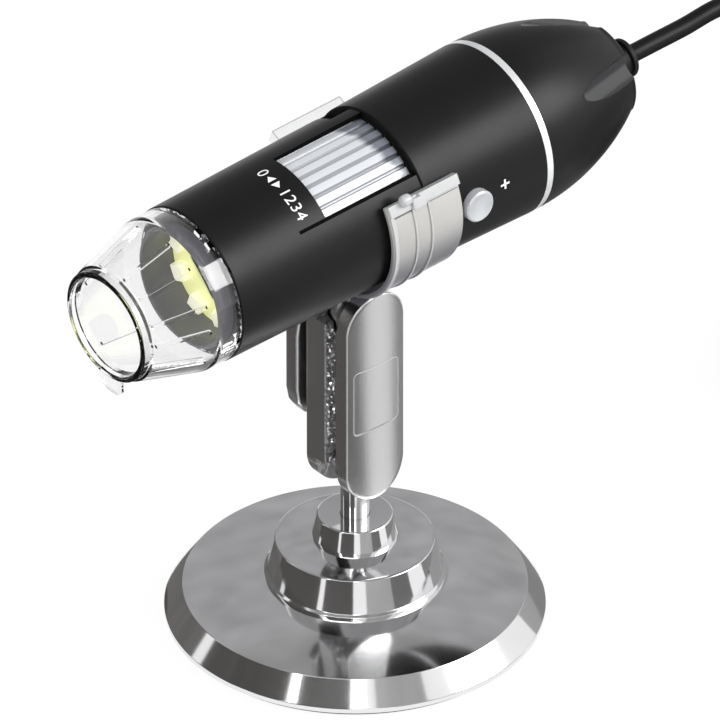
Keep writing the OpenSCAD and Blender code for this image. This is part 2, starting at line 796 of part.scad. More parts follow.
// Front barrel with the web that holds the hood, the wheel's bay and its window
module front_barrel() {
    color("#2b2b2d") on_scope() difference() {
        turned([
            [hood_r + seat, barrel_front], [barrel_front_d / 2, barrel_front],
            [barrel_back_d / 2, barrel_back], [wheel_bay_r, barrel_back],
            [wheel_bay_r, bay_front], [barrel_bore_r, bay_front],
            [barrel_bore_r, barrel_front + web_t], [hood_r + seat, barrel_front + web_t]
        ]);
        wedge(window_angle - window_span / 2, window_edge, window_front, barrel_back + over);
        wedge(notch_angle, rail_edge, barrel_back - notch_l, barrel_back + over);
        wedge(window_edge - slit_span, window_edge, window_front - slit_l, barrel_back + over);
    }
}

// Rear shell with a hole for each button
module rear_shell() {
    color("#2b2b2d") on_scope() difference() {
        turned([
            [shell_bore_r, barrel_back], [shell_front_d / 2, barrel_back],
            [shell_r, shell_back], [tail_bore_r, shell_back], [shell_bore_r, sensor_back]
        ]);
        translate([0, 0, button_at])
            bar_x(-shell_back_d, shell_back_d, button_d + 2 * run_fit);
    }
}

// Bright ring between the rear shell and the tail
module trim_ring() {
    color("gray") on_scope() ring(tail_bore_r, shell_r, shell_back, trim_back);
}

// Rounded tail with flutes and a hole for the grommet
module tail_cap() {
    reach = tail_l - tail_edge_r;
    outside = [for (i = [0 : tail_steps])
        let (s = trim_back + reach * i / tail_steps) [tail_r(s), s]];
    inside = [for (i = [tail_steps : -1 : 0])
        let (s = trim_back + (tail_l - tail_wall) * i / tail_steps)
        [tail_r(s) - tail_wall, s]];
    color("#2b2b2d") on_scope() difference() {
        turned(concat(outside, [[tail_r(trim_back + reach) - tail_edge_r, tail_back]],
            [[cable_d / 2, tail_back], [cable_d / 2, tail_back - tail_wall]], inside));
        for (k = [0 : flute_count - 1])
            rotate([0, 0, flute_angle + 360 * k / flute_count]) flute();
    }
}

// The round cutter for one flute, under the top line
module flute() {
    low = tail_end_d / 2 - flute_depth + flute_r;
    high = tail_r(flute_front) + flute_r;
    lean = atan((high - low) / flute_l);
    translate([0, -low, tail_back]) rotate([-lean, 0, 0])
        translate([0, 0, -2 * flute_l]) cylinder(r = flute_r, h = 3 * flute_l, $fn = small_fn);
}

// Grooved grommet on the tail's end
module cable_grommet() {
    groove_back = grommet_back - grommet_groove;
    groove_front = groove_back - grommet_groove;
    groove_r = grommet_d / 2 - groove_depth;
    edge = 0.5;
    color("#1c1c1e") on_scope() turned([
        [cable_d / 2, tail_back], [grommet_d / 2, tail_back], [grommet_d / 2, groove_front],
        [groove_r, groove_front], [groove_r, groove_back],
        [grommet_d / 2, groove_back], [grommet_d / 2, grommet_back - edge],
        [grommet_d / 2 - edge, grommet_back], [cable_d / 2, grommet_back]
    ]);
}

// Clear open cap over the lamps, with its finger tab
module nose_cap() {
    straight = barrel_front - nose_straight_l;
    color("white", 0.4) on_scope() {
        turned([
            [nose_bore_r, barrel_front], [nose_r, barrel_front], [nose_r, straight],
            [nose_front_r, nose_front], [nose_front_r - nose_wall, nose_front], [nose_bore_r, straight]
        ]);
        translate([-tab_w / 2, nose_front_r - nose_wall / 2, nose_front])
            cube([tab_w, tab_drop, tab_t]);
    }
}

// Dark cup round the lens, flanged behind the web, with a ledge for the lamp board
module lens_hood() {
    color("#4a4a4c") on_scope() turned([
        [hood_ri, hood_front], [hood_r, hood_front], [hood_r, barrel_front + web_t],
        [hood_flange_r, barrel_front + web_t], [hood_flange_r, barrel_front + web_t + hood_flange_t],
        [hood_r, barrel_front + web_t + hood_flange_t], [hood_r, hood_back],
        [hood_ri - ledge_w, hood_back], [hood_ri - ledge_w, board_back], [hood_ri, board_back]
    ]);
}

// Ring board that carries the lamps
module lamp_board() {
    color("#e8e8e0") on_scope()
        ring(lens_hole_d / 2, hood_ri - seat, board_front, board_back);
}

// Lamps on the board in the hood
module lamps() {
    color("#f4ecc0") on_scope() for (k = [0 : lamp_count - 1])
        rotate([0, 0, 360 * (k + 0.5) / lamp_count])
            translate([-lamp_w / 2, -lamp_mid_r - lamp_r / 2, board_front - lamp_h])
                cube([lamp_w, lamp_r, lamp_h]);
}

// Ribbed wheel that turns on the chassis tube
module focus_wheel() {
    // One rib's outline: share of its pitch, share of its depth
    outline = [[0, 0], [0.25, 1], [0.5, 1], [0.75, 0]];
    color("silver") on_scope() difference() {
        translate([0, 0, wheel_front]) linear_extrude(wheel_l) polygon([
            for (k = [0 : rib_count - 1]) for (p = outline)
                let (a = 360 * (k + p[0]) / rib_count, r = wheel_r - rib_depth * p[1])
                [r * cos(a), r * sin(a)]
        ]);
        translate([0, 0, wheel_front - over])
            cylinder(r = wheel_ri, h = wheel_l + 2 * over, $fn = round_fn);
    }
}

// Tube that the wheel turns on and the carriage slides in
module chassis_tube() {
    slot_l = pin_d + 2 * carriage_travel + 2 * clear;
    color("#3a3a3c") on_scope() difference() {
        turned([
            [chassis_ri, chassis_front], [barrel_bore_r - seat, chassis_front],
            [barrel_bore_r - seat, chassis_front + flange_t], [chassis_r, chassis_front + flange_t],
            [chassis_r, rear_flange], [shell_bore_r - seat, rear_flange],
            [shell_bore_r - seat, chassis_back], [chassis_ri, chassis_back]
        ]);
        translate([-pin_d / 2 - clear, 0, carriage_mid - slot_l / 2])
            cube([pin_d + 2 * clear, chassis_r + over, slot_l]);
    }
}

// Sliding lens mount with its guide pin
module lens_carriage() {
    color("#2a2a2c") on_scope() {
        turned([
            [carriage_ri, carriage_front], [carriage_r, carriage_front], [carriage_r, carriage_back],
            [carriage_ri, carriage_back], [carriage_ri, carriage_mid + lens_stop],
            [carriage_ri - lens_stop, carriage_mid + lens_stop],
            [carriage_ri - lens_stop, carriage_mid - lens_stop], [carriage_ri, carriage_mid - lens_stop]
        ]);
        translate([0, carriage_ri + carriage_wall / 2, carriage_mid]) rotate([-90, 0, 0])
            cylinder(d = pin_d, h = chassis_r - carriage_ri - carriage_wall / 2 - seat, $fn = small_fn);
    }
}

// A lens with a flat rim, whose dome faces +Z
module lens() {
    dome_r = (pow(lens_r, 2) + pow(lens_dome, 2)) / (2 * lens_dome);
    intersection() {
        cylinder(r = lens_r, h = lens_edge + lens_dome, $fn = round_fn);
        translate([0, 0, lens_edge + lens_dome - dome_r]) sphere(dome_r, $fn = round_fn);
    }
}

// Front lens against the carriage's stop
module front_lens() {
    color("lightcyan") on_scope()
        translate([0, 0, carriage_mid - lens_stop]) rotate([180, 0, 0]) lens();
}

// Rear lens against the other side of the stop
module rear_lens() {
    color("lightcyan") on_scope() translate([0, 0, carriage_mid + lens_stop]) lens();
}

// Ring that keeps the front lens in the carriage
module lens_retainer() {
    color("black") on_scope() ring(carriage_ri - lens_stop, carriage_ri - seat,
        carriage_front, carriage_mid - lens_stop - lens_edge - lens_dome);
}

// Round board behind the chassis tube
module sensor_board() {
    color("#1f5a34") on_scope()
        translate([0, 0, chassis_back]) cylinder(r = sensor_board_r, h = board_t, $fn = round_fn);
}

// Image sensor on the axis
module image_sensor() {
    color("#303034") on_scope() translate([-sensor_w / 2, -sensor_w / 2, chassis_back - sensor_h])
        cube([sensor_w, sensor_w, sensor_h]);
}

// Main board along the axis
module main_board() {
    color("#1f5a34") on_scope() translate([-board_t / 2, -main_w / 2, sensor_back])
        cube([board_t, main_w, main_l]);
}

// Chips on both faces of the main board
module board_chips() {
    chip_w = 7;
    chip_t = 1.2;
    // Gap between the switch and the first chip, and between the chips
    chip_gap = 1.5;
    first = button_at + switch_w / 2 + chip_gap + chip_w / 2;
    color("#202022") on_scope() for (side = [-1, 1], i = [0, 1])
        translate([side * (board_t / 2 + chip_t / 2), 0, first + i * (chip_w + chip_gap)])
            cube([chip_t, chip_w, chip_w], center = true);
}

// A round button with its inner flange and stem, pointing to +X
module button() {
    color("silver") on_scope() translate([0, 0, button_at]) {
        bar_x(button_flange_x - button_flange_t, button_top, button_d);
        bar_x(button_flange_x - button_flange_t, button_flange_x, button_flange_d);
        bar_x(stem_x, button_flange_x, stem_d);
    }
}

// Round button on the near side
module zoom_button() {
    button();
}

// Round button on the far side
module snap_button() {
    mirror([1, 0, 0]) button();
}

// A small switch on the main board, pointing to +X
module tact_switch() {
    color("#151517") on_scope() translate([board_t / 2, -switch_w / 2, button_at - switch_w / 2])
        cube([switch_h, switch_w, switch_w]);
}

// Switch behind the near button
module zoom_switch() {
    tact_switch();
}

// Switch behind the far button
module snap_switch() {
    mirror([1, 0, 0]) tact_switch();
}

// Cable from the main board through the grommet
module cable_inner() {
    color("#333335") on_scope()
        translate([0, 0, main_back]) cylinder(d = cable_d, h = grommet_back - main_back, $fn = small_fn);
}

// Cable from the grommet down to the coil
module cable_free() {
    color("#333335") tube_along(free_path, cable_d, 8);
}

// Cable wound for storage, and its lead to the plug
module cable_coil() {
    color("#333335") tube_along(wound_path, cable_d, 6);
}

// Flat tie round all the turns on the side away from the scope
module cable_tie() {
    inner = coil_in_r - cable_r - tie_gap;
    outer = coil_in_r + coil_turns * coil_pitch + cable_r + tie_gap;
    top = coil_top_z + cable_r + tie_gap;
    color("#222224") translate([coil_x, coil_y - tie_w / 2, 0]) difference() {
        translate([inner - tie_t, 0, 0]) cube([outer - inner + 2 * tie_t, tie_w, top + tie_t]);
        translate([inner, -over, tie_t])
            cube([outer - inner, tie_w + 2 * over, top - tie_t]);
    }
}

// Puts a shape that is drawn along +Z at the cable's end, its width level
module at_plug() {
    translate(lead_end) rotate([0, 0, end_angle]) rotate([0, 90, 0]) rotate([0, 0, 90]) children();
}

// Moulded grip of the plug
module plug_grip() {
    corner = 1.6;
    color("#2a2a2c") at_plug() plate(plug_w, plug_h, plug_l, corner);
}

// Metal shell of the plug
module plug_shell() {
    shell_w = 12;
    shell_h = 4.5;
    wall = 0.4;
    color("silver") at_plug() translate([0, 0, plug_l]) difference() {
        translate([-shell_w / 2, -shell_h / 2, 0]) cube([shell_w, shell_h, plug_shell_l]);
        translate([wall - shell_w / 2, wall - shell_h / 2, -over])
            cube([shell_w - 2 * wall, shell_h - 2 * wall, plug_shell_l + 2 * over]);
    }
}

// Insulating tongue inside the plug's shell
module plug_tongue() {
    tongue_w = 11.2;
    tongue_h = 1.85;
    // Depth of the tongue's end inside the shell's mouth
    tongue_in = 0.4;
    color("white") at_plug() translate([-tongue_w / 2, 0, plug_l])
        cube([tongue_w, tongue_h, plug_shell_l - tongue_in]);
}

base_disc();
base_pad();
hub_tier();
post_collar();
post();
base_screw();
arm_near_half();
arm_far_half();
arm_panel();
clamp_knob();
clamp_bolt();
clamp_washer();
ball_stud();
cradle();
front_barrel();
rear_shell();
trim_ring();
tail_cap();
cable_grommet();
nose_cap();
lens_hood();
lamp_board();
lamps();
focus_wheel();
chassis_tube();
lens_carriage();
front_lens();
rear_lens();
lens_retainer();
sensor_board();
image_sensor();
main_board();
board_chips();
zoom_button();
snap_button();
zoom_switch();
snap_switch();
cable_inner();
cable_free();
cable_coil();
cable_tie();
plug_grip();
plug_shell();
plug_tongue();
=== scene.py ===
"""Looks of a handheld digital microscope on a chrome stand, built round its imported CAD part."""

import math
from types import SimpleNamespace

import bpy
from mathutils import Matrix, Vector
from mathutils.geometry import intersect_point_line


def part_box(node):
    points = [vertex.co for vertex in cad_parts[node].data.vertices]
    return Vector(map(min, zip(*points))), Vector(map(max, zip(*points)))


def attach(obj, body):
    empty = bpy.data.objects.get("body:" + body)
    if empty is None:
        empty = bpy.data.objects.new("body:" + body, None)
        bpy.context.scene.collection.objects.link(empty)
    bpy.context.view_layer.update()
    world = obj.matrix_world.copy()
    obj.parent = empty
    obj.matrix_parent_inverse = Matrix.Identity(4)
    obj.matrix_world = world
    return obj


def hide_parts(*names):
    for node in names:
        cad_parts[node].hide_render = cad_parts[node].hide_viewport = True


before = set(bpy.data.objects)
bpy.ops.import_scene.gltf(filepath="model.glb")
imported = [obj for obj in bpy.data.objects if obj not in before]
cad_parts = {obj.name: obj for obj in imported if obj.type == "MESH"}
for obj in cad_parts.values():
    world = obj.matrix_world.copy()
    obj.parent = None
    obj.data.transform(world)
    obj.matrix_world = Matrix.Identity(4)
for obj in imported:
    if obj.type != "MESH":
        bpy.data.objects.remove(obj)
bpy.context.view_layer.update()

bl_info = {
    "name": "Digital microscope looks",
    "version": (1, 0, 0),
    "blender": (4, 5, 0),
    "location": "View3D > Sidebar > Microscope",
    "description": "Models and finishes a handheld digital microscope on its stand",
    "category": "Object",
}

# Pieces are modelled in millimetres and scaled to metres when they are put in place
MM = 0.001
# Edges that turn by less than this many degrees are shaded smooth
SMOOTH_ANGLE = 32
# Clearance between pieces that move past each other
CLEAR = 0.3
# Height of a printed mark over its surface
PRINT_LIFT = 0.03


# Properties

def length(name, description, size):
    """A length property whose default is given in millimetres."""
    return bpy.props.FloatProperty(
        name=name, description=description, default=size * MM, unit="LENGTH", precision=5)


def degrees(name, description, angle):
    """An angle property whose default is given in degrees."""
    return bpy.props.FloatProperty(
        name=name, description=description, default=math.radians(angle), subtype="ANGLE")


def tint(name, description, rgb):
    """A colour property in linear light."""
    return bpy.props.FloatVectorProperty(
        name=name, description=description, default=rgb, subtype="COLOR", min=0, max=1)


class StandSizes(bpy.types.PropertyGroup):
    """Sizes of the base, the post and the clamp arm."""
    base_d: length("Base", "Outer diameter of the weighted disc",
                   (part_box("base_disc")[1].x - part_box("base_disc")[0].x) / MM)
    top_d: length("Base top", "Diameter at the edge of the disc's domed top", 63.2)
    edge_z: length("Base edge", "Height of the edge of the disc's top above the table", 6.5)
    lip_z: length("Lip height", "Height of the disc's upright lip above the table", 2.1)
    pad_h: length("Pad", "Thickness of the pad under the disc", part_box("base_disc")[0].z / MM)
    hub_d: length("Hub", "Diameter at the foot of the hub", 33.2)
    hub_top_d: length("Hub top", "Diameter at the top of the hub", 29.3)
    hub_foot_z: length("Hub foot", "Height of the hub's foot above the table",
                       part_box("base_disc")[1].z / MM)
    hub_z: length("Hub height", "Height of the hub's edge above the table", 16.4)
    collar_d: length("Collar", "Diameter at the foot of the collar", 15.7)
    collar_top_d: length("Collar top", "Diameter at the top of the collar", 13.9)
    collar_foot_z: length("Collar foot", "Height of the collar's foot above the table",
                          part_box("hub_tier")[1].z / MM)
    collar_z: length("Collar height", "Height of the collar's top above the table",
                     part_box("post_collar")[1].z / MM)
    post_d: length("Post", "Diameter of the post", 5.4)
    ball_d: length("Balls", "Diameter of both balls", 9.2)
    lower_z: length("Lower ball", "Height of the lower ball's centre", 35)
    upper_z: length("Upper ball", "Height of the upper ball's centre", 65.5)
    arm_w: length("Arm width", "Width of the clamp arm", 13.6)
    arm_t: length("Arm thickness", "Thickness of the clamp arm from face to face", 12.6)
    arm_gap: length("Arm gap", "Gap between the two halves of the arm", 2.8)
    arm_split: length("Arm split", "Distance from the balls to the middle of the gap", 1.1)
    crown_r: length("Arm crown", "Radius of the crown across each face of the arm", 40)
    panel_w: length("Panel width", "Width of the recessed panel", 10.5)
    panel_h: length("Panel height", "Height of the recessed panel", 13.5)
    knob_w: length("Knob width", "Width of the clamp knob", 16)
    knob_h: length("Knob height", "Height of the clamp knob", 27)
    knob_rise: length("Knob rise", "How far the knob's middle lies above its bolt", 3.6)
    knob_corner: length("Knob corner", "Radius of the knob's corners", 7.5)
    knob_t: length("Knob thickness", "Thickness of the clamp knob", 3.2)


class ScopeSizes(bpy.types.PropertyGroup):
    """Sizes of the cradle and the scope. Places run along the scope's axis from the stud."""
    tilt: degrees("Tilt", "Tilt of the scope, tail up", 3)
    rise: length("Axis rise", "Distance from the upper ball to the scope's axis", 24.7956)
    cradle_ri: length("Cradle bore", "Inner radius of the cradle", 16.5956)
    cradle_ro: length("Cradle", "Outer radius of the cradle", 17.4956)
    cradle_front: length("Cradle front", "Place of the cradle's front", -4.2)
    cradle_back: length("Cradle back", "Place of the cradle's back", 12.3)
    lip_out: length("Cradle lip", "How far a lip stands out of the cradle", 1.3)
    nose_front: length("Nose front", "Place of the nose cap's front edge", -57.6)
    barrel_front: length("Barrel front", "Place of the front barrel's nose end", -38)
    barrel_back: length("Barrel back", "Place of the front barrel's rear end", 5.7)
    shell_back: length("Shell back", "Place of the rear shell's rear end", 32.7)
    trim_back: length("Trim back", "Place of the bright ring's rear edge", 34.15)
    tail_back: length("Tail back", "Place of the tail's end", 60.5)
    grommet_back: length("Grommet back", "Place of the grommet's end", 66)
    barrel_front_d: length("Barrel nose", "Diameter of the front barrel at its nose end", 30.7)
    barrel_back_d: length("Barrel rear", "Diameter of the front barrel at its rear end", 31.8)
    shell_front_d: length("Shell front", "Diameter of the rear shell at its front end", 32.4)
    shell_back_d: length("Shell rear", "Diameter of the rear shell at its rear end", 34)
    nose_d: length("Nose", "Diameter of the nose cap's straight part", 30.4)
    nose_front_d: length("Nose edge", "Diameter of the nose cap at its front edge", 21.8)
    hood_d: length("Hood", "Diameter of the cup-shaped lens hood", 23.8)
    wheel_d: length("Wheel", "Diameter of the focus wheel over its ribs", 29.2)
    wheel_front: length("Wheel front", "Place of the focus wheel's front edge", -15.8)
    wheel_back: length("Wheel back", "Place of the focus wheel's rear edge", 5.4)
    button_d: length("Buttons", "Diameter of the two buttons", 6.2)
    button_at: length("Button place", "Place of the two buttons", 16.1)


class LeadSizes(bpy.types.PropertyGroup):
    """Sizes of the lead and its put-away coil."""
    cable_d: length("Cable", "Diameter of the cable", 3.5)
    coil_d: length("Coil", "Mean diameter of the coil", 41.5)
    pitch: length("Turn pitch", "Distance between neighbouring turns", 4.1)
    coil_x: length("Coil X", "Place of the coil's centre across the scope", 6)
    coil_y: length("Coil Y", "Place of the coil's centre along the scope", 131)
    tie_w: length("Tie", "Width of the tie round the coil", 6)


class FinishColours(bpy.types.PropertyGroup):
    """Colours of the finishes."""
    chrome: tint("Chrome", "Bright plating of the stand", (0.83, 0.83, 0.84))
    edge_plating: tint("Edge plating", "Plating of the arm's edges and the knob", (0.84, 0.84, 0.85))
    satin: tint("Satin plating", "Broad faces of the arm", (0.64, 0.64, 0.64))
    body: tint("Body", "Satin black of the scope", (0.006, 0.006, 0.0062))
    # Top colour of the cradle's near side; its finish darkens it below as painted shade and makes it silvery
    # as painted reflection
    frost: tint("Frosted plastic", "Cradle", (0.56, 0.545, 0.52))
    hood: tint("Hood", "Lens hood", (0.1, 0.1, 0.12))
    lamp: tint("Lamps", "Phosphor of the lamps", (0.93, 0.92, 0.72))
    cable: tint("Cable", "Jacket of the lead", (0.006, 0.006, 0.0062))
    print_white: tint("Print", "Printed marks", (0.82, 0.82, 0.82))


# Shader maths

class Wire:
    """A node's output that can stand in sums and products, each of which adds a Math node."""

    def __init__(self, finish, socket):
        self.finish, self.socket = finish, socket

    def maths(self, operation, other):
        return self.finish.node("ShaderNodeMath", {"operation": operation}, {0: self, 1: other})

    def __add__(self, other):
        return self.maths("ADD", other)

    def __sub__(self, other):
        return self.maths("SUBTRACT", other)

    def __mul__(self, other):
        return self.maths("MULTIPLY", other)


class Finish:
    """One material. Its constants are set on the shader, and its patterns come from Object coordinates."""

    def __init__(self, name, **constants):
        self.material = bpy.data.materials.new(name)
        self.material.use_nodes = True
        self.tree = self.material.node_tree
        self.shader = self.tree.nodes["Principled BSDF"]
        for socket, value in constants.items():
            self.shader.inputs[socket.replace("_", " ")].default_value = value
        self.place = self.node("ShaderNodeTexCoord", out="Object")

    def node(self, kind, settings=None, sockets=None, out=0):
        """Adds a node, with its settings first and then the values or wires of its sockets."""
        made = self.tree.nodes.new(kind)
        for key, value in (settings or {}).items():
            if key == "stops":
                while len(made.color_ramp.elements) < len(value):
                    made.color_ramp.elements.new(1)
                for element, (position, shade) in zip(made.color_ramp.elements, value):
                    element.position, element.color = position, (shade, shade, shade, 1)
            else:
                setattr(made, key, value)
        for key, value in (sockets or {}).items():
            if isinstance(value, Wire):
                self.tree.links.new(value.socket, made.inputs[key])
            else:
                made.inputs[key].default_value = value
        return Wire(self, made.outputs[out])

    def noise(self, scale, detail=3, stretch=(1, 1, 1)):
        """A noise of that many grains a metre, stretched by a Mapping node."""
        placed = self.node("ShaderNodeMapping", None, {"Vector": self.place, "Scale": stretch})
        return self.node("ShaderNodeTexNoise", None, {"Vector": placed, "Scale": scale, "Detail": detail})

    def ramp(self, value, *stops):
        """A grey ramp over a value."""
        return self.node("ShaderNodeValToRGB", {"stops": stops}, {0: value})

    def between(self, share, first, second):
        """A colour between two colours."""
        return self.node("ShaderNodeMix", {"data_type": "RGBA"},
                         {0: share, 6: (*first, 1), 7: (*second, 1)}, out=2)

    def along(self, axis):
        """The coordinate along one axis."""
        return self.node("ShaderNodeSeparateXYZ", None, {0: self.place}, out=axis)

    def eased(self, value, low, high):
        """A smooth step from 0 to 1 while a value goes from low to high."""
        return self.node("ShaderNodeMapRange", {"interpolation_type": "SMOOTHSTEP"},
                         {"Value": value, "From Min": low, "From Max": high})

    def feed(self, socket, wire):
        """Links a wire to one of the shader's varying sockets."""
        self.tree.links.new(wire.socket, self.shader.inputs[socket])

    def mottle(self, share, colour, low, high=1.0, socket="Base Color"):
        """Feeds a colour that varies between a darker and a lighter shade of itself."""
        self.feed(socket, self.between(share, shaded(colour, low), shaded(colour, high)))

    def bump(self, height, distance):
        """Feeds the normal from a height, with the bump's depth in metres."""
        self.feed("Normal", self.node("ShaderNodeBump", None,
                                      {"Height": height, "Distance": distance, "Strength": 1.0}))


def shaded(colour, factor):
    """A colour made lighter or darker by a factor."""
    return tuple(min(1.0, c * factor) for c in colour)


def plated(name, colour, low, high, grain=None):
    """Metal plating with faint smudges, and a fine grain where it is satin."""
    finish = Finish(name, Metallic=1.0)
    smudge = finish.noise(90, 4)
    finish.mottle(finish.ramp(smudge, (0.3, 0), (0.7, 1)), colour, 0.95)
    finish.feed("Roughness", smudge * (high - low) + low)
    if grain:
        finish.bump(finish.noise(*grain), 0.000004)
    return finish.material


def moulded(name, colour, rough, grain=3500, depth=0.000006, **constants):
    """Moulded plastic with a fine texture and slightly uneven gloss."""
    finish = Finish(name, **constants)
    patch = finish.noise(120, 4)
    finish.mottle(patch, colour, 0.9, 1.1)
    finish.feed("Roughness", patch * 0.1 + (rough - 0.05))
    finish.bump(finish.noise(grain, 2), depth)
    return finish.material


def clear(name, colour, rough, **constants):
    """Clear plastic or glass with a trace of handling on its gloss."""
    finish = Finish(name, Transmission_Weight=1.0, IOR=1.49, **constants)
    trace = finish.noise(160, 4)
    finish.mottle(trace, colour, 0.98)
    finish.feed("Roughness", trace * rough)
    return finish.material


def clip_plastic_painted_light(name, colour, lower, painted_silvering, rough):
    """Clear plastic of the cradle with painted light: its near side is made silvery and nearly opaque, a
    painted reflection, and its colour is darker and cooler towards its lower part, a painted shade.
    """
    finish = Finish(name, IOR=1.49)
    cloud = finish.noise(140, 3)
    # Painted reflection: the near side gets metal and opacity that stand in for the shine of the clear
    # plastic
    near = finish.eased(finish.along("X"), -0.012, 0.006)
    # Painted shade: the colour goes from the lower colour at the bottom to the main colour at the top
    painted_top_light = finish.eased(finish.along("Z"), 0.079, 0.094)
    finish.feed("Base Color", finish.between(painted_top_light + (cloud - 0.5) * 0.12, lower, colour))
    finish.feed("Roughness", cloud * 0.08 + rough)
    finish.feed("Metallic", near * painted_silvering)
    finish.feed("Alpha", near * 0.82 + (cloud * 0.06 + 0.1))
    return finish.material


def painted_edge_reflection(name, colour):
    """Painted reflection along the edges of the clear plastic: a dark, half-clear colour that stands in for
    what is dark round it, which the edges gather.
    """
    finish = Finish(name, Roughness=0.25)
    cloud = finish.noise(500, 3)
    finish.mottle(cloud, colour, 0.8, 1.2)
    finish.feed("Alpha", cloud * 0.5 + 0.35)
    return finish.material


def phosphor(name, colour):
    """Lamp phosphor with a faint glow, which is painted light: it stands in for the light that cannot reach
    the lamps and their ring board inside the clear cap, and the board is no lamp.
    """
    finish = Finish(name, Roughness=0.35, Emission_Strength=0.45)
    grain = finish.noise(2500, 3)
    for socket in ("Base Color", "Emission Color"):
        finish.mottle(grain, colour, 0.92, socket=socket)
    finish.bump(grain, 0.00001)
    return finish.material


def laminate(name, colour):
    """Circuit board with raised tracks under its lacquer."""
    finish = Finish(name)
    tracks = finish.node("ShaderNodeTexBrick", None, {
        "Vector": finish.place, "Scale": 420.0, "Mortar Size": 0.035, "Color1": (0, 0, 0, 1),
        "Color2": (0, 0, 0, 1), "Mortar": (1, 1, 1, 1)}, out="Fac")
    finish.feed("Base Color", finish.between(tracks, colour, shaded(colour, 2.2)))
    finish.feed("Roughness", tracks * 0.1 + 0.3)
    finish.bump(tracks, 0.00003)
    return finish.material


def wheel_paint_with_painted_shadow(name, front, back):
    """Silver paint with a painted shadow: it darkens towards the rear of the wheel, where the rear shell
    overhangs it, unevenly from rib to rib.
    """
    finish = Finish(name, Metallic=0.15)
    grain = finish.noise(2400, 2)
    uneven = finish.noise(420, 1, (1, 0, 1))
    shadow_edge = finish.along("Y") - finish.along("X") * 0.25 + (uneven - 0.5) * 0.007
    # Painted shadow: its edge runs slanted across the wheel and wobbles from rib to rib
    painted_shadow = finish.eased(shadow_edge, -0.0026, -0.0008)
    finish.feed("Base Color", finish.between(painted_shadow, front, back))
    finish.feed("Roughness", grain * 0.08 + 0.3)
    finish.bump(grain, 0.000003)
    return finish.material


def sparkling(name, colour):
    """Rough cast metal inside the arm, which glints."""
    finish = Finish(name, Metallic=1.0)
    lumps = finish.noise(1500, 4)
    finish.mottle(lumps, colour, 0.5)
    finish.feed("Roughness", lumps * 0.2 + 0.08)
    finish.bump(lumps, 0.0006)
    return finish.material


def finishes(context):
    """The finishes, made once and found by name after that. The frame's own materials have plain names."""
    c = context.scene.finish_colours
    table = {
        "chrome": (plated, c.chrome, 0.07, 0.11),
        "edge_plating": (plated, c.edge_plating, 0.2, 0.26),
        "satin_plating": (plated, c.satin, 0.2, 0.25, (2600, 2, (1, 1, 0.05))),
        "steel": (plated, (0.56, 0.56, 0.57), 0.2, 0.3, (1800, 2, (1, 1, 0.2))),
        # Both wheel finishes darken towards the rear as painted shadow
        "wheel_silver": (wheel_paint_with_painted_shadow, (0.62, 0.63, 0.65), (0.17, 0.18, 0.21)),
        # Darker than the ribs: painted shade in the grooves
        "wheel_groove": (wheel_paint_with_painted_shadow, (0.37, 0.38, 0.4), (0.09, 0.095, 0.11)),
        "trim_silver": (moulded, (0.84, 0.845, 0.85), 0.3, 3000, 0.000003, {"Metallic": 0.55}),
        "button_silver": (moulded, (0.52, 0.53, 0.545), 0.36, 3000, 0.000003, {"Metallic": 0.3}),
        "gold": (plated, (0.83, 0.6, 0.22), 0.2, 0.28),
        # Lighter plating for the arm's rounded rims: a painted highlight
        "bright_edge": (plated, (0.9, 0.9, 0.9), 0.3, 0.36),
        "panel_groove": (moulded, (0.5, 0.5, 0.5), 0.5),
        "arm_inside": (sparkling, (0.75, 0.75, 0.75)),
        "body_black": (moulded, c.body, 0.38, {"Specular_IOR_Level": 0.2}),
        # Lighter and glossier than the body: a painted sheen for the flutes
        "flute_black": (moulded, (0.014, 0.0145, 0.016), 0.28, {"Specular_IOR_Level": 0.8}),
        "shadow_black": (moulded, (0.0015, 0.0015, 0.0015), 0.7, {"Specular_IOR_Level": 0.05}),
        "lip_shadow": (moulded, (0.12, 0.12, 0.122), 0.5),
        "grommet_black": (moulded, (0.008, 0.008, 0.008), 0.5, 2200, 0.00001, {"Specular_IOR_Level": 0.2}),
        "pad_rubber": (moulded, (0.05, 0.05, 0.05), 0.85, 900, 0.00004),
        "hood_grey": (moulded, c.hood, 0.3, 2600, 0.000004),
        "chassis_black": (moulded, (0.02, 0.02, 0.02), 0.6),
        "chip_black": (moulded, (0.018, 0.018, 0.019), 0.45, 2000),
        # The ring board glows though it is no lamp: painted light
        "board_yellow": (phosphor, (0.86, 0.87, 0.4)),
        "plug_white": (moulded, (0.75, 0.75, 0.74), 0.4),
        "cable_black": (moulded, c.cable, 0.42, 1600, 0.00001, {"Specular_IOR_Level": 0.16}),
        "tie_cloth": (moulded, (0.03, 0.03, 0.03), 0.9, 1500, 0.00015),
        "print_white": (moulded, c.print_white, 0.45),
        "clear_plastic": (clear, (0.985, 0.985, 0.985), 0.03),
        "lens_glass": (clear, (0.93, 0.97, 0.98), 0.01, {"Coat_Weight": 0.5}),
        # Both cradle finishes carry painted light: a darker lower part as painted shade, and on the first a
        # silvery near side as painted reflection
        "frosted_plastic": (clip_plastic_painted_light, c.frost, (0.25, 0.25, 0.275), 0.5, 0.26),
        "pale_plastic": (clip_plastic_painted_light, (0.48, 0.48, 0.48), (0.4, 0.4, 0.415), 0.0, 0.25),
        "clear_outline": (painted_edge_reflection, (0.3, 0.3, 0.3)),
        # The lamps glow faintly: painted light for the light that does not reach them
        "lamp_phosphor": (phosphor, c.lamp),
        "board_green": (laminate, (0.02, 0.12, 0.045)),
    }

    def look(name):
        maker, *values = table[name]
        options = values.pop() if isinstance(values[-1], dict) else {}
        full_name = name + "_finish"
        return bpy.data.materials.get(full_name) or maker(full_name, *values, **options)

    return look


# Modelling steps

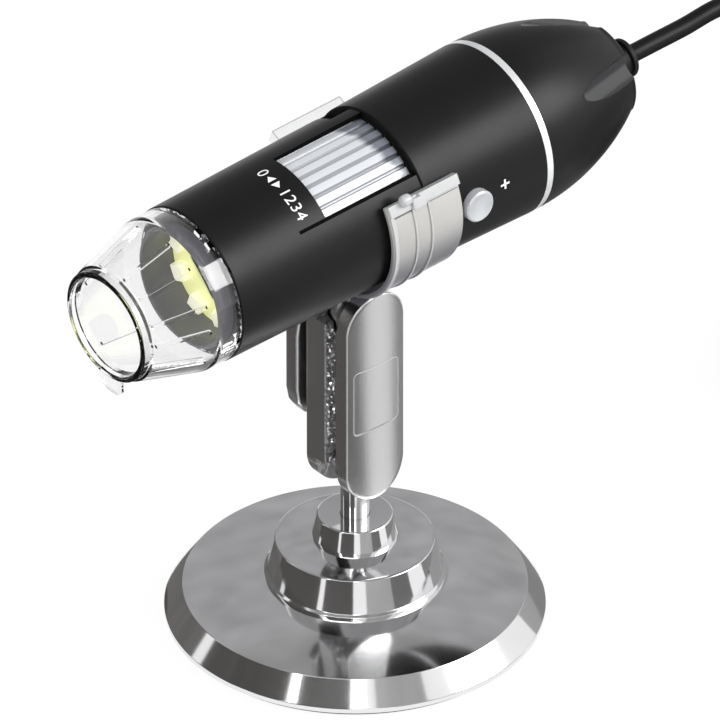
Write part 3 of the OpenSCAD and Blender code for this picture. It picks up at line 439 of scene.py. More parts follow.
def measures(group):
    """A property group's lengths in millimetres and its angles in radians, by name."""
    return SimpleNamespace(**{
        key: getattr(group, key) / (1 if group.bl_rna.properties[key].subtype == "ANGLE" else MM)
        for key in group.__annotations__})


def begin():
    """Leaves edit mode and deselects everything, so that operators act only on what comes next."""
    if bpy.context.object and bpy.context.object.mode == "EDIT":
        bpy.ops.object.mode_set(mode="OBJECT")
    bpy.ops.object.select_all(action="DESELECT")


def only(*pieces):
    """Selects these pieces alone and makes the first one active."""
    begin()
    for piece in pieces:
        piece.select_set(True)
    bpy.context.view_layer.objects.active = pieces[0]


def fix_place():
    """Keeps the place of what is selected in its mesh."""
    bpy.ops.object.transform_apply(location=True, rotation=True, scale=True)


def move(piece, place):
    """Moves one piece and keeps its place in its mesh."""
    only(piece)
    piece.matrix_world = place
    fix_place()


def repeat(name, piece, places):
    """Joins copies of a piece at these places into one, and removes the piece."""
    copies = []
    for place in places:
        copy = piece.copy()
        copy.data = piece.data.copy()
        bpy.context.collection.objects.link(copy)
        copy.matrix_world = place
        copies.append(copy)
    bpy.data.objects.remove(piece, do_unlink=True)
    only(*copies)
    fix_place()
    bpy.ops.object.join()
    bpy.context.object.name = name
    return bpy.context.object


def pick(piece, test):
    """Enters edit mode with only those points selected that pass a test."""
    only(piece)
    bpy.ops.object.mode_set(mode="EDIT")
    bpy.ops.mesh.select_mode(type="VERT")
    bpy.ops.mesh.select_all(action="DESELECT")
    bpy.ops.object.mode_set(mode="OBJECT")
    for point in piece.data.vertices:
        point.select = bool(test(point.co))
    bpy.ops.object.mode_set(mode="EDIT")


def rounded(*corners, steps=4):
    """Points of a closed outline. A corner with a third number is rounded to that radius."""
    points = []
    for i, corner in enumerate(corners):
        at = Vector(corner[:2])
        if len(corner) == 2:
            points.append(at)
            continue
        before = (Vector(corners[i - 1][:2]) - at).normalized()
        after = (Vector(corners[(i + 1) % len(corners)][:2]) - at).normalized()
        half = before.angle(after) / 2
        middle = at + (before + after).normalized() * corner[2] / math.sin(half)
        reach = corner[2] / math.tan(half)
        first, last = at + before * reach - middle, at + after * reach - middle
        turn = first.angle(last)
        points += [middle + (first * math.sin((1 - k / steps) * turn) + last * math.sin(k / steps * turn))
                   / math.sin(turn) for k in range(steps + 1)]
    return points


def dome(edge_r, edge_z, foot_r, foot_z, steps):
    """Points of a domed top, from its edge in to the foot of what stands on it."""
    rise = foot_z - edge_z
    drop = (edge_r ** 2 - foot_r ** 2 - rise ** 2) / (2 * rise)
    return [(r, edge_z - drop + math.sqrt(edge_r ** 2 + drop ** 2 - r ** 2))
            for r in (edge_r + (foot_r - edge_r) * k / steps for k in range(steps + 1))]


def plate_outline(w, h, r):
    """A rectangle about its middle with round corners."""
    return rounded((-w / 2, -h / 2, r), (w / 2, -h / 2, r), (w / 2, h / 2, r), (-w / 2, h / 2, r))


def draw(name, points):
    """Draws a line of points in edit mode by pulling one point out along it."""
    begin()
    bpy.ops.mesh.primitive_plane_add(size=2)
    piece = bpy.context.object
    piece.name = name
    bpy.ops.object.mode_set(mode="EDIT")
    bpy.ops.mesh.select_mode(type="VERT")
    bpy.ops.mesh.select_all(action="SELECT")
    bpy.ops.mesh.merge(type="CENTER")
    at = Vector((0, 0, 0))
    for i, point in enumerate(points):
        step = Vector(point) - at
        if i:
            bpy.ops.mesh.extrude_region_move(TRANSFORM_OT_translate={"value": step})
        else:
            bpy.ops.transform.translate(value=step)
        at += step
    bpy.ops.mesh.select_all(action="SELECT")
    return piece


def join_up(ends=False):
    """Merges doubles, closes open ends and points all faces outwards, then leaves edit mode."""
    bpy.ops.mesh.select_all(action="SELECT")
    bpy.ops.mesh.remove_doubles(threshold=0.001)
    if ends:
        bpy.ops.mesh.select_all(action="DESELECT")
        bpy.ops.mesh.select_non_manifold()
        bpy.ops.mesh.fill_holes(sides=0)
        bpy.ops.mesh.select_all(action="SELECT")
    bpy.ops.mesh.normals_make_consistent(inside=False)
    bpy.ops.object.mode_set(mode="OBJECT")


def turned(name, outline, steps=128, start=0.0, sweep=360.0):
    """A piece turned about Z from (radius, place) points. Start and sweep are degrees from +X."""
    way = Vector((math.cos(math.radians(start)), math.sin(math.radians(start)), 0))
    piece = draw(name, [way * p[0] + Vector((0, 0, p[1])) for p in outline])
    bpy.ops.mesh.spin(steps=steps, angle=-math.radians(sweep), center=(0, 0, 0), axis=(0, 0, 1))
    join_up(ends=sweep < 360)
    return piece


def ring(name, outline, **options):
    """A turned piece whose outline closes on itself."""
    return turned(name, [*outline, outline[0]], **options)


def sector(name, ri, ro, front, back, low, high, steps=24):
    """A part of a ring round the scope's axis, between two angles from the top."""
    return ring(name, [(ri, front), (ro, front), (ro, back), (ri, back)],
                start=low - 90, sweep=high - low, steps=steps)


def prism(name, outline, depth):
    """A prism: an outline of points drawn, filled and pulled out by a depth."""
    piece = draw(name, [*outline, outline[0]])
    bpy.ops.mesh.remove_doubles(threshold=0.001)
    bpy.ops.mesh.edge_face_add()
    bpy.ops.mesh.extrude_region_move(TRANSFORM_OT_translate={"value": depth})
    join_up()
    return piece


def block(name, low, high):
    """A block between two corners."""
    (x0, y0, z0), (x1, y1, z1) = low, high
    return prism(name, [(x0, y0, z0), (x1, y0, z0), (x1, y1, z0), (x0, y1, z0)], (0, 0, z1 - z0))


def rod(name, r, start, end, steps=48):
    """A rod between two points."""
    begin()
    start, end = Vector(start), Vector(end)
    way = end - start
    bpy.ops.mesh.primitive_cylinder_add(
        vertices=steps, radius=r, depth=way.length, location=(start + end) / 2,
        rotation=way.to_track_quat("Z", "Y").to_euler())
    piece = bpy.context.object
    piece.name = name
    fix_place()
    return piece


def finish_modifier(piece, kind, **settings):
    """Adds a modifier with its settings and applies it."""
    modifier = piece.modifiers.new(kind.lower(), kind)
    for key, value in settings.items():
        setattr(modifier, key, value)
    only(piece)
    bpy.ops.object.modifier_apply(modifier=modifier.name)


def shape(piece, operation, *tools):
    """Cuts, joins or keeps a piece by each tool in turn, and removes the tools."""
    for tool in tools:
        finish_modifier(piece, "BOOLEAN", operation=operation, object=tool, solver="EXACT")
        bpy.data.objects.remove(tool, do_unlink=True)


def ease_edges(piece, width, segments=2, angle=35):
    """Rounds the sharp edges of a piece."""
    finish_modifier(piece, "BEVEL", width=width, segments=segments, limit_method="ANGLE",
                    angle_limit=math.radians(angle), use_clamp_overlap=True)


def settle(piece, body, material, place=Matrix(), stands_for=()):
    """Puts a finished piece at its place in metres, and hands it to its body."""
    move(piece, Matrix.Scale(MM, 4) @ place)
    bpy.ops.object.shade_smooth_by_angle(angle=math.radians(SMOOTH_ANGLE))
    finish_modifier(piece, "WEIGHTED_NORMAL", keep_sharp=True)
    if not piece.data.materials:
        piece.data.materials.append(material)
    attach(piece, body)
    if stands_for:
        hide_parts(*stands_for)
    return piece


def paint(piece, materials, choose):
    """Gives each face the material whose number choose(face) gives."""
    for material in materials:
        piece.data.materials.append(material)
    for face in piece.data.polygons:
        face.material_index = choose(face)


def dress(nodes, material):
    """Gives carried-over CAD nodes a material."""
    for node in nodes:
        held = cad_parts[node].data.materials
        held.clear()
        held.append(material)


def scope_place(z, s):
    """The scope's own frame: +Z along its tail, its top towards -Y, the near side towards +X."""
    return (Matrix.Translation((0, 0, z.upper_z)) @ Matrix.Rotation(s.tilt, 4, "X")
            @ Matrix.Translation((0, 0, s.rise)) @ Matrix.Rotation(math.radians(-90), 4, "X"))


def off_line(point, a, b):
    """Distance of a point from the line through two others."""
    return (intersect_point_line(point, a, b)[0] - point).length


def taper(at, front, back, front_d, back_d):
    """Radius of a tapered round piece at a place along it."""
    return (front_d + (back_d - front_d) * (at - front) / (back - front)) / 2


def wrap(mark, place_at, beta, radius):
    """Lays a flat mark on the round body, at an angle from the top."""
    for point in mark.data.vertices:
        a, r = math.radians(beta) + point.co.x / radius, radius + point.co.z
        point.co = (r * math.sin(a), -r * math.cos(a), place_at + point.co.y)


def ready(context):
    """The finishes, the sizes of the stand and the scope, and the scope's own frame."""
    z, s = measures(context.scene.stand_sizes), measures(context.scene.scope_sizes)
    return finishes(context), z, s, scope_place(z, s)


# Operators

class MakeLead(bpy.types.Operator):
    """Lay the cable from the grommet to its tied coil and its plug"""
    bl_idname = "microscope.make_lead"
    bl_label = "Lead"

    turns, layers, rings = 2.5, 4, 24

    def coil(self, lead):
        """Points of the coil, from its top layer down to the table."""
        run = self.turns * self.rings
        inner = lead.coil_d / 2 - self.turns * lead.pitch / 2
        top = 0.8 + lead.cable_d / 2 + (self.layers - 1) * lead.pitch
        points = []
        for k in range(int(run * self.layers) + 1):
            wound = abs((k / run + 1) % 2 - 1)
            lowered = 0
            for n in range(1, self.layers):
                a = min(1, max(0, (k - n * run) / (self.rings / 2) + 0.5))
                lowered += a * a * (3 - 2 * a)
            r = inner + self.turns * lead.pitch * (1 - wound)
            a = math.radians(-90 + 360 * k / self.rings)
            points.append(Vector((lead.coil_x + r * math.cos(a), lead.coil_y + r * math.sin(a),
                                  top - lead.pitch * lowered)))
        return points

    def execute(self, context):
        look, _, s, place = ready(context)
        lead = measures(context.scene.lead_sizes)
        out = place.to_3x3() @ Vector((0, 0, 1))
        exit_point = place @ Vector((0, 0, s.grommet_back))
        coil = self.coil(lead)
        hang = [(0, 86, 95.2), (-0.3, 92.6, 94.4), (-1, 98.2, 91), (-2, 102.4, 85.6), (-3.2, 104.8, 78.6),
                (-4.6, 106, 70.5), (-6, 106.4, 62), (-7.4, 106.5, 53.5), (-8.7, 106.4, 45),
                (-9.5, 106.3, 37), (-9.2, 106.2, 30), (-7, 106.1, 23.4), (-2.8, 106, 18)]
        rise = 4 - coil[-1].z
        lead_end = coil[-1] + Vector((21, 0, rise))
        route = [exit_point, exit_point + out * 7, exit_point + out * 14, *map(Vector, hang),
                 coil[0] + Vector((-lead.cable_d, 0, 0.5)), *coil,
                 coil[-1] + Vector((7, 0, 0.3 * rise)), coil[-1] + Vector((14, 0, rise)), lead_end]
        begin()
        bpy.ops.curve.primitive_bezier_curve_add()
        cable = context.object
        cable.name = "lead_cable"
        line = cable.data
        line.splines.clear()
        spline = line.splines.new("BEZIER")
        spline.bezier_points.add(len(route) - 1)
        for knot, point in zip(spline.bezier_points, route):
            knot.co = point * MM
            knot.handle_left_type = knot.handle_right_type = "AUTO"
        line.dimensions, line.resolution_u = "3D", 6
        line.bevel_depth, line.bevel_resolution = lead.cable_d / 2 * MM, 4
        line.use_fill_caps = True
        cable.matrix_world = Matrix()
        line.materials.append(look("cable_black"))
        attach(cable, "scope")
        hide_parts("cable_free", "cable_coil")

        tie = self.tie(lead, look)
        plug = self.plug(lead_end, look)
        run = sum((b - a).length for a, b in zip(route, route[1:])) * MM
        exit_point * MM
        return {"FINISHED"}

    def tie(self, lead, look):
        """Cloth strap round all the turns."""
        gap, thick, edge = 0.2, 0.6, 1.1
        half = self.turns * lead.pitch / 2
        inner = lead.coil_d / 2 - half - lead.cable_d / 2 - gap - thick
        outer = lead.coil_d / 2 + half + lead.cable_d / 2 + gap + thick
        top = 0.8 + lead.cable_d + (self.layers - 1) * lead.pitch + gap + thick
        mid, height = (inner + outer) / 2, top
        outline = [(lead.coil_x + mid + p.x, lead.coil_y - lead.tie_w / 2, height / 2 + p.y)
                   for p in plate_outline(outer - inner, height, edge)]
        strap = draw("coil_tie", [*outline, outline[0]])
        bpy.ops.mesh.remove_doubles(threshold=0.001)
        bpy.ops.mesh.extrude_region_move(TRANSFORM_OT_translate={"value": (0, lead.tie_w, 0)})
        join_up()
        finish_modifier(strap, "SOLIDIFY", thickness=thick, offset=-1)
        ease_edges(strap, 0.12)
        return settle(strap, "scope", look("tie_cloth"), stands_for=["cable_tie"])

    def plug(self, at, look):
        """Grip, shell, tongue and contacts of the plug, along +X from the cable's end."""
        w, h, l = 15.6, 8, 22
        grip = prism("plug_grip_moulding", [(0, p.x, p.y) for p in plate_outline(w, h, 1.6)], (l, 0, 0))
        ease_edges(grip, 0.9, 3)
        deep, short, pitch = 0.35, w / 2 - 2.5, 2.2
        grooves = [block("groove", (4 + pitch * k, -short, face - deep), (5 + pitch * k, short, face + deep))
                   for k in range(5) for face in (-h / 2, h / 2)]
        shape(grip, "DIFFERENCE", *grooves)
        ease_edges(grip, 0.1, 1)
        shell_w, shell_h, shell_l, wall = 12, 4.5, 12, 0.4
        shell = prism("plug_shell_sleeve", [(l, p.x, p.y) for p in plate_outline(shell_w, shell_h, 0.35)],
                      (shell_l, 0, 0))
        shape(shell, "DIFFERENCE",
              block("bore", (l - 1, wall - shell_w / 2, wall - shell_h / 2),
                    (l + shell_l + 1, shell_w / 2 - wall, shell_h / 2 - wall)),
              *[block("latch", (l + 5.2, y - 1.15, side * 2 - 0.6), (l + 7.3, y + 1.15, side * 2 + 0.6))
                for y in (-2.6, 2.6) for side in (-1, 1)])
        ease_edges(shell, 0.08, 1)
        tongue = block("plug_tongue_block", (l, -5.6, 0), (l + shell_l - 0.4, 5.6, 1.85))
        ease_edges(tongue, 0.2)
        contacts = block("plug_contacts", (l + 1.5, -4, -0.06), (l + 10, -3, 0.02))
        shape(contacts, "UNION", *[block("contact", (l + 1.5, y, -0.06), (l + 10, y + 1, 0.02))
                                   for y in (-1.5, 0.5, 3)])
        place = Matrix.Translation(at)
        return [
            settle(grip, "scope", look("cable_black"), place, ["plug_grip"]),
            settle(shell, "scope", look("chrome"), place, ["plug_shell"]),
            settle(tongue, "scope", look("plug_white"), place, ["plug_tongue"]),
            settle(contacts, "scope", look("gold"), place),
        ]


class MakeBase(bpy.types.Operator):
    """Turn the weighted disc, its pad, the hub and the collar"""
    bl_idname = "microscope.make_base"
    bl_label = "Base"

    def execute(self, context):
        look, z, _, _ = ready(context)
        bore = z.post_d / 2 + 0.08
        edge, *top = dome(z.top_d / 2, z.edge_z, z.hub_d / 2, z.hub_foot_z, 20)
        disc = ring("base_plate", rounded(
            (4.8, z.pad_h), (z.base_d / 2, z.pad_h, 0.3), (z.base_d / 2, z.lip_z, 0.35),
            (*edge, 0.25), *top, (bore, z.hub_foot_z), (bore, 3.1), (4.8, 3.1)), steps=192)
        settle(disc, "base", look("chrome"), stands_for=["base_disc"])
        pad_r, pad_z = z.base_d / 2 - 1.2, z.pad_h - 0.01
        grooves = [(r + out, up) for r in (10, 17, 24, 30)
                   for out, up in ((0, 0), (0.3, 0.35), (1.1, 0.35), (1.4, 0))]
        pad = turned("grip_pad", [
            (0, 0), *grooves, (pad_r - 0.2, 0), (pad_r, 0.2), (pad_r, pad_z), (0, pad_z)])
        settle(pad, "base", look("pad_rubber"), stands_for=["base_pad"])
        edge, *top = dome(z.hub_top_d / 2, z.hub_z, z.collar_d / 2, z.collar_foot_z, 12)
        hub = ring("hub_step", rounded(
            (bore, z.hub_foot_z), (z.hub_d / 2, z.hub_foot_z), (z.hub_d / 2, z.hub_foot_z + 0.55, 0.25),
            (z.hub_d / 2 - 0.55, z.hub_foot_z + 1, 0.3), (*edge, 0.25), *top, (bore, z.collar_foot_z)),
            steps=160)
        settle(hub, "base", look("chrome"), stands_for=["hub_tier"])
        collar = ring("collar_cone", rounded(
            (bore, z.collar_foot_z), (z.collar_d / 2, z.collar_foot_z),
            (z.collar_d / 2, z.collar_foot_z + 0.5, 0.25), (z.collar_top_d / 2, z.collar_z, 0.4),
            (bore, z.collar_z)))
        settle(collar, "base", look("chrome"), stands_for=["post_collar"])
        return {"FINISHED"}


class MakePost(bpy.types.Operator):
    """Turn the post with its ball"""
    bl_idname = "microscope.make_post"
    bl_label = "Post"

    def execute(self, context):
        look, z, _, _ = ready(context)
        r, ball = z.post_d / 2, z.ball_d / 2
        low = math.asin(r / ball)
        round_top = [(ball * math.sin(a), z.lower_z - ball * math.cos(a))
                     for a in (low + (math.pi - low) * k / 20 for k in range(20))]
        post = turned("swivel_post", [
            (0, 11), (1.5, 11), (1.5, 3), (r, 3), *round_top, (0, z.lower_z + ball)], steps=64)
        settle(post, "post", look("chrome"), stands_for=["post"])
        return {"FINISHED"}


class MakeArm(bpy.types.Operator):
    """Cut both halves of the clamp arm, with the bare panel in the near one"""
    bl_idname = "microscope.make_arm"
    bl_label = "Clamp arm"

    def half(self, name, z, near):
        """One half of the arm on the +X side: a crowned disc whose upper half is pulled up."""
        r, far, edge = z.arm_w / 2, z.arm_t / 2, 0.35

        def crown(y):
            return far - z.crown_r + math.sqrt(z.crown_r ** 2 - y ** 2)

        face = [(y, crown(y)) for y in (r - edge - (r - edge - 0.5) * k / 10 for k in range(11))]
        rim = [(r - edge + edge * math.cos(t), crown(r - edge) - edge + edge * math.sin(t))
               for t in (math.pi / 2 * k / 4 for k in range(4))]
        half = turned(name, [(0, near), (r - 0.2, near), (r, near + 0.2), *rim, *face, (0, face[-1][1])])
        move(half, Matrix.Translation((0, 0, z.lower_z)) @ Matrix.Rotation(math.pi / 2, 4, "Y"))
        for point in half.data.vertices:
            if point.co.x > near + 1:
                from_middle = min(r - edge, math.hypot(point.co.y, point.co.z - z.lower_z))
                point.co.x += crown(min(r - edge, abs(point.co.y))) - crown(from_middle)
        pick(half, lambda p: p.z > z.lower_z + 0.001)
        bpy.ops.transform.translate(value=(0, 0, z.upper_z - z.lower_z))
        begin()
        return half

    def sockets(self, z):
        """Tools that clear both balls and their necks."""
        tools = []
        for at, way in ((z.lower_z, -1), (z.upper_z, 1)):
            bpy.ops.mesh.primitive_uv_sphere_add(segments=48, ring_count=24, radius=z.ball_d / 2 + CLEAR,
                                                 location=(0, 0, at))
            tools.append(bpy.context.object)
            neck, (low, high) = z.post_d / 2 + CLEAR, sorted((at, at + way * 14))
            tools.append(block("neck", (-neck, -z.arm_w, low), (neck, z.arm_w, high)))
        return tools

    def chips(self, z, look):
        """Rough cast grains along the edges of the far half's inner face."""
        inner, pitch, places = z.arm_split - z.arm_gap / 2, 0.85, []
        for row, (edge, y) in enumerate(((-1, 6.1), (-1, 5.3), (1, 6.1), (1, 5.3))):
            for k in range(int((z.upper_z - z.lower_z) / pitch)):
                a, b, c = (math.sin((k + 1) * (row + 2) * n) for n in (12.9, 7.3, 4.7))
                at = (inner + 0.15 + 0.2 * a, edge * (y + 0.15 * b), z.lower_z + pitch * (k + 0.5 + 0.3 * c))
                places.append(Matrix.Translation(at) @ Matrix.Rotation(2 * a + b, 4, (b, c, 1))
                              @ Matrix.Diagonal((0.5 + 0.2 * c, 0.4, 0.5 + 0.25 * a, 1)))
        begin()
        bpy.ops.mesh.primitive_ico_sphere_add(subdivisions=1, radius=1)
        cast = repeat("arm_cast_grains", bpy.context.object, places)
        settle(cast, "arm", look("chrome"))

    def execute(self, context):
        look, z, _, _ = ready(context)
        mid, far = (z.lower_z + z.upper_z) / 2, z.arm_t / 2
        floor = far - 0.6
        thread_r, bolt_hole_r, seat_r = 2.08, 2.3, 4.5
        looks = [look(name) for name in (
            "satin_plating", "edge_plating", "arm_inside", "bright_edge", "panel_groove")]

        def side(face):
            outer, lean = abs(face.center.x) > far - 1.2, abs(face.normal.x)
            within = (abs(face.center.y) < z.panel_w / 2 + 0.2
                      and abs(face.center.z - mid) < z.panel_h / 2 + 0.2)
            if within and face.center.x > floor - 0.1 and (lean < 0.45 or face.center.x < floor + 0.1):
                return 4
            # The rounded rims between face and side get a brighter plating: a painted highlight
            if outer and 0.3 < lean < 0.97:
                return 3
            return 1 if lean < 0.45 else 0 if outer else 2

        def on_face(grow, corner):
            """The panel's outline at the pocket's floor, grown by a little."""
            outline = plate_outline(z.panel_w + grow, z.panel_h + grow, corner)
            return [(floor, p.x, mid + p.y) for p in outline]

        near = self.half("arm_near_cheek", z, z.arm_split + z.arm_gap / 2)
        begin()
        shape(near, "DIFFERENCE", *self.sockets(z),
              prism("pocket", on_face(0.3, 1.1), (4, 0, 0)),
              rod("bolt_hole", thread_r, (0, 0, mid), (far - 1.45, 0, mid)))
        paint(near, looks, side)
        settle(near, "arm", None, stands_for=["arm_near_half"])

        distant = self.half("arm_far_cheek", z, z.arm_gap / 2 - z.arm_split)
        move(distant, Matrix.Rotation(math.pi, 4, "Z"))
        shape(distant, "UNION", rod("seat", seat_r, (-far, 0, mid), (-2, 0, mid)))
        begin()
        shape(distant, "DIFFERENCE", *self.sockets(z),
              rod("bolt_hole", bolt_hole_r, (-far - 1, 0, mid), (1, 0, mid)))
        paint(distant, looks, side)
        settle(distant, "arm", None, stands_for=["arm_far_half"])

        self.chips(z, look)
        top = far - 0.12
        panel = prism("arm_bare_panel", on_face(-0.2, 0.9), (top - floor, 0, 0))
        bpy.ops.object.mode_set(mode="EDIT")
        for k in range(-3, 4):
            bpy.ops.mesh.select_all(action="SELECT")
            bpy.ops.mesh.bisect(plane_co=(0, k * 1.3, 0), plane_no=(0, 1, 0))
        begin()
        for point in panel.data.vertices:
            if point.co.x > top - 0.01:
                point.co.x -= z.crown_r - math.sqrt(z.crown_r ** 2 - point.co.y ** 2)
        ease_edges(panel, 0.1, 1)
        paint(panel, [look("satin_plating"), look("panel_groove")], lambda face: int(face.normal.x < 0.9))
        settle(panel, "arm", None, stands_for=["arm_panel"])
        return {"FINISHED"}


class MakeKnob(bpy.types.Operator):
    """Form the paddle-shaped clamp knob"""
    bl_idname = "microscope.make_knob"
    bl_label = "Clamp knob"

    def execute(self, context):
        look, z, _, _ = ready(context)
        knob = prism("clamp_knob_paddle", [(p.x, z.knob_rise + p.y, 0) for p in plate_outline(
            z.knob_w, z.knob_h, z.knob_corner)], (0, 0, z.knob_t))
        begin()
        bolt_r, washer = 2, 0.7
        shape(knob, "DIFFERENCE", rod("bolt_hole", bolt_r, (0, 0, -1), (0, 0, z.knob_t + 1)))
        ease_edges(knob, 0.6, 3)
        mid = (z.lower_z + z.upper_z) / 2
        place = (Matrix.Translation((-z.arm_t / 2 - washer, 0, mid)) @ Matrix.Rotation(-math.pi / 2, 4, "Z")
                 @ Matrix.Rotation(math.pi / 2, 4, "X"))
        settle(knob, "knob", look("edge_plating"), place, ["clamp_knob"])
        return {"FINISHED"}


class MakeCradle(bpy.types.Operator):
    """Form the open clip with its rims, ribs, lips and catches"""
    bl_idname = "microscope.make_cradle"
    bl_label = "Cradle"

    def execute(self, context):
        look, _, s, place = ready(context)
        ri, ro, front, back = s.cradle_ri, s.cradle_ro, s.cradle_front, s.cradle_back
        lip, lip_end, rib_end, skin = 62, 70, 150, s.cradle_ro - 0.3
        clip = ring("cradle_clip", rounded(
            (ri, front, 0.2), (ro, front, 0.2), (ro, back, 0.25), (ri, back, 0.25), steps=3),
            start=lip - 90, sweep=360 - 2 * lip, steps=96)
        # Rods along the far lip's edges, painted dark as painted reflection in the clear plastic
        far_edge = Vector((-math.sin(math.radians(lip)), -math.cos(math.radians(lip)), 0))
        corners = [far_edge * r + Vector((0, 0, at)) for r, at in (
            (ri + 0.1, front + 0.3), (ro + s.lip_out - 0.1, front + 0.3),
            (ro + s.lip_out - 0.1, back - 0.3), (ri + 0.1, back - 0.3))]
        painted_edge_lines = list(zip(corners, corners[1:] + corners[:1]))
        parts = []
        for side in (-1, 1):
            def strip(name, out, a, b, low, high, edge):
                low, high = (low, high) if side > 0 else (-high, -low)
                return ring(name, rounded(
                    (skin, a), (ro + out, a, edge), (ro + out, b, edge), (skin, b), steps=3),
                    start=low - 90, sweep=high - low, steps=max(4, int((high - low) / 3)))

            # No two strips end on the same plane, so that every union is sure
            parts += [
                strip("rim", 0.3, front + 0.25, front + 1.15, lip + 0.2, rib_end, 0.15),
                strip("rib", 0.3, front + 5.3, front + 5.7, lip + 0.2, rib_end, 0.12),
                strip("rib", 0.3, front + 8.9, front + 9.3, lip + 0.2, rib_end, 0.12),
            ]
            if side < 0:
                parts += [strip("lip", s.lip_out, front + 0.2, back - 0.2, lip - 0.06, lip_end, 0.3),
                          *[rod("lip_line", 0.12, a, b, 8) for a, b in painted_edge_lines]]
                continue
            parts += [
                strip("lip", s.lip_out * 0.55, front + 0.2, front + 7.2, lip - 0.06, lip_end - 1.2, 0.3),
                strip("lip_step", s.lip_out, front + 7, back - 0.2, lip - 0.12, lip_end - 2, 0.4),
                strip("lip_foot", 0.35, front + 6.8, back - 0.26, lip + 0.1, lip_end, 0.2),
                strip("latch", s.lip_out + 0.05, front + 5.2, front + 8.2, lip + 1.6, lip_end - 0.6, 0.3),
                strip("lip_shade", 0.05, front + 1.2, back - 0.4, lip_end - 0.5, lip_end + 0.9, 0.02),
            ]
            a = math.radians(lip)
            catch = Vector((math.sin(a), -math.cos(a), 0)) * (ro + s.lip_out) + Vector((0, 0, front + 2.4))
            knob = rod("catch", 1.1, catch + Vector((0, 0, 0.3)), catch + Vector((0, 0, 2.7)), 32)
            ease_edges(knob, 0.8, 5)
            parts.append(knob)
        shape(clip, "UNION", *parts)
        shape(clip, "DIFFERENCE", rod("stud_hole", 1.33, (0, 10, 0), (0, 25, 0), 32))

        def part(face):
            at, out = face.center, face.center.xy.length
            beta = math.degrees(math.atan2(at.x, -at.y))
            # Faces along those rods get the painted reflection of the clear edges
            if at.x < -4 and any(off_line(at, *line) < 0.15 for line in painted_edge_lines):
                return 2
            if lip_end - 0.1 < beta < lip_end + 1 and ro + 0.02 < out < ro + 0.08:
                return 3
            return int(out > ro + 0.09 or abs(beta) < lip + 0.3)

        paint(clip, [look(name) for name in (
            "frosted_plastic", "pale_plastic", "clear_outline", "lip_shadow")], part)
        settle(clip, "cradle", None, place, ["cradle"])
        return {"FINISHED"}


class MakeFrontBarrel(bpy.types.Operator):
    """Turn the front barrel, open its window and print its marks"""
    bl_idname = "microscope.make_front_barrel"
    bl_label = "Front barrel"

    figure_size = 3.3

    def mark(self, text, place_at, beta, radius):
        """A printed figure wrapped on the round body, reading down the near side."""
        begin()
        bpy.ops.object.text_add()
        mark = bpy.context.object
        mark.name = f"scale_figure_{text}"
        mark.data.body, mark.data.size = text, self.figure_size
        mark.data.align_x, mark.data.align_y = "CENTER", "CENTER"
        bpy.ops.object.convert(target="MESH")
        wrap(mark, place_at, beta, radius)
        return mark

    def execute(self, context):
        look, _, s, place = ready(context)
        wall = 1.6
        hood, bay, bore = s.hood_d / 2 + 0.1, s.wheel_d / 2 + CLEAR, s.barrel_front_d / 2 - wall
        bay_front, web = s.wheel_front - CLEAR, s.barrel_front + wall
        window_far, window_near, slit = -9, 53, 50.5
        barrel = ring("front_barrel_shell", rounded(
            (hood, s.barrel_front), (s.barrel_front_d / 2, s.barrel_front, 0.35),
            (s.barrel_back_d / 2, s.barrel_back, 0.15), (bay, s.barrel_back),
            (bay, bay_front), (bore, bay_front), (bore, web), (hood, web)), steps=180)
        past = s.barrel_back + 1
        shape(barrel, "DIFFERENCE",
              sector("window", 12, 20, s.wheel_front + 0.5, past, window_far, window_near),
              sector("notch", 12, 20, s.barrel_back - 4.8, past, -52, -20),
              sector("slit", 12, 20, s.wheel_front - 5.7, past, slit, window_near, 4))
        # The ledge and the slit's floor are dark pieces in the slit; they and the window's walls get
        # shadow_black below, a painted shade
        shape(barrel, "UNION",
              sector("ledge", bay + 0.05, bay + 0.4, s.wheel_front - 0.2, s.barrel_back - 0.1,
                     slit, window_near + 1, 4),
              sector("slit_floor", bore - 0.3, bay + 0.2, s.wheel_front - 6, bay_front - 0.05,
                     slit - 1, window_near + 1, 4))
        ease_edges(barrel, 0.12, 1)

        # Painted shade: the ledge, the slit's floor and the window's walls
        def part(face):
            beta = math.degrees(math.atan2(face.center.x, -face.center.y))
            on_ledge = slit - 0.1 < beta < window_near + 0.1 and face.center.xy.length < bay + 0.45
            wall = abs(face.normal.xy.normalized().dot(face.center.xy.normalized())) < 0.5
            return int(on_ledge or (wall and window_far - 2 < beta < window_near + 2))

        paint(barrel, [look("body_black"), look("shadow_black")], part)
        settle(barrel, "scope", None, place, ["front_barrel"])

        at = -19.6
        skin = taper(at, s.barrel_front, s.barrel_back, s.barrel_front_d, s.barrel_back_d) + PRINT_LIFT
        for beta, text in ((-0.5, "0"), (22.5, "1"), (29, "2"), (35.5, "3"), (42, "4")):
            settle(self.mark(text, at, beta, skin), "scope", look("print_white"), place)
        for name, tip, way in (("scale_arrow_left", 4.8, -1), ("scale_arrow_right", 17.4, 1)):
            arrow = prism(name, [(0, 0, 0), (-way * 1.35, 1.0, 0), (-way * 1.35, -1.0, 0)], (0, 0, 0.02))
            wrap(arrow, at, tip, skin)
            settle(arrow, "scope", look("print_white"), place)
        return {"FINISHED"}


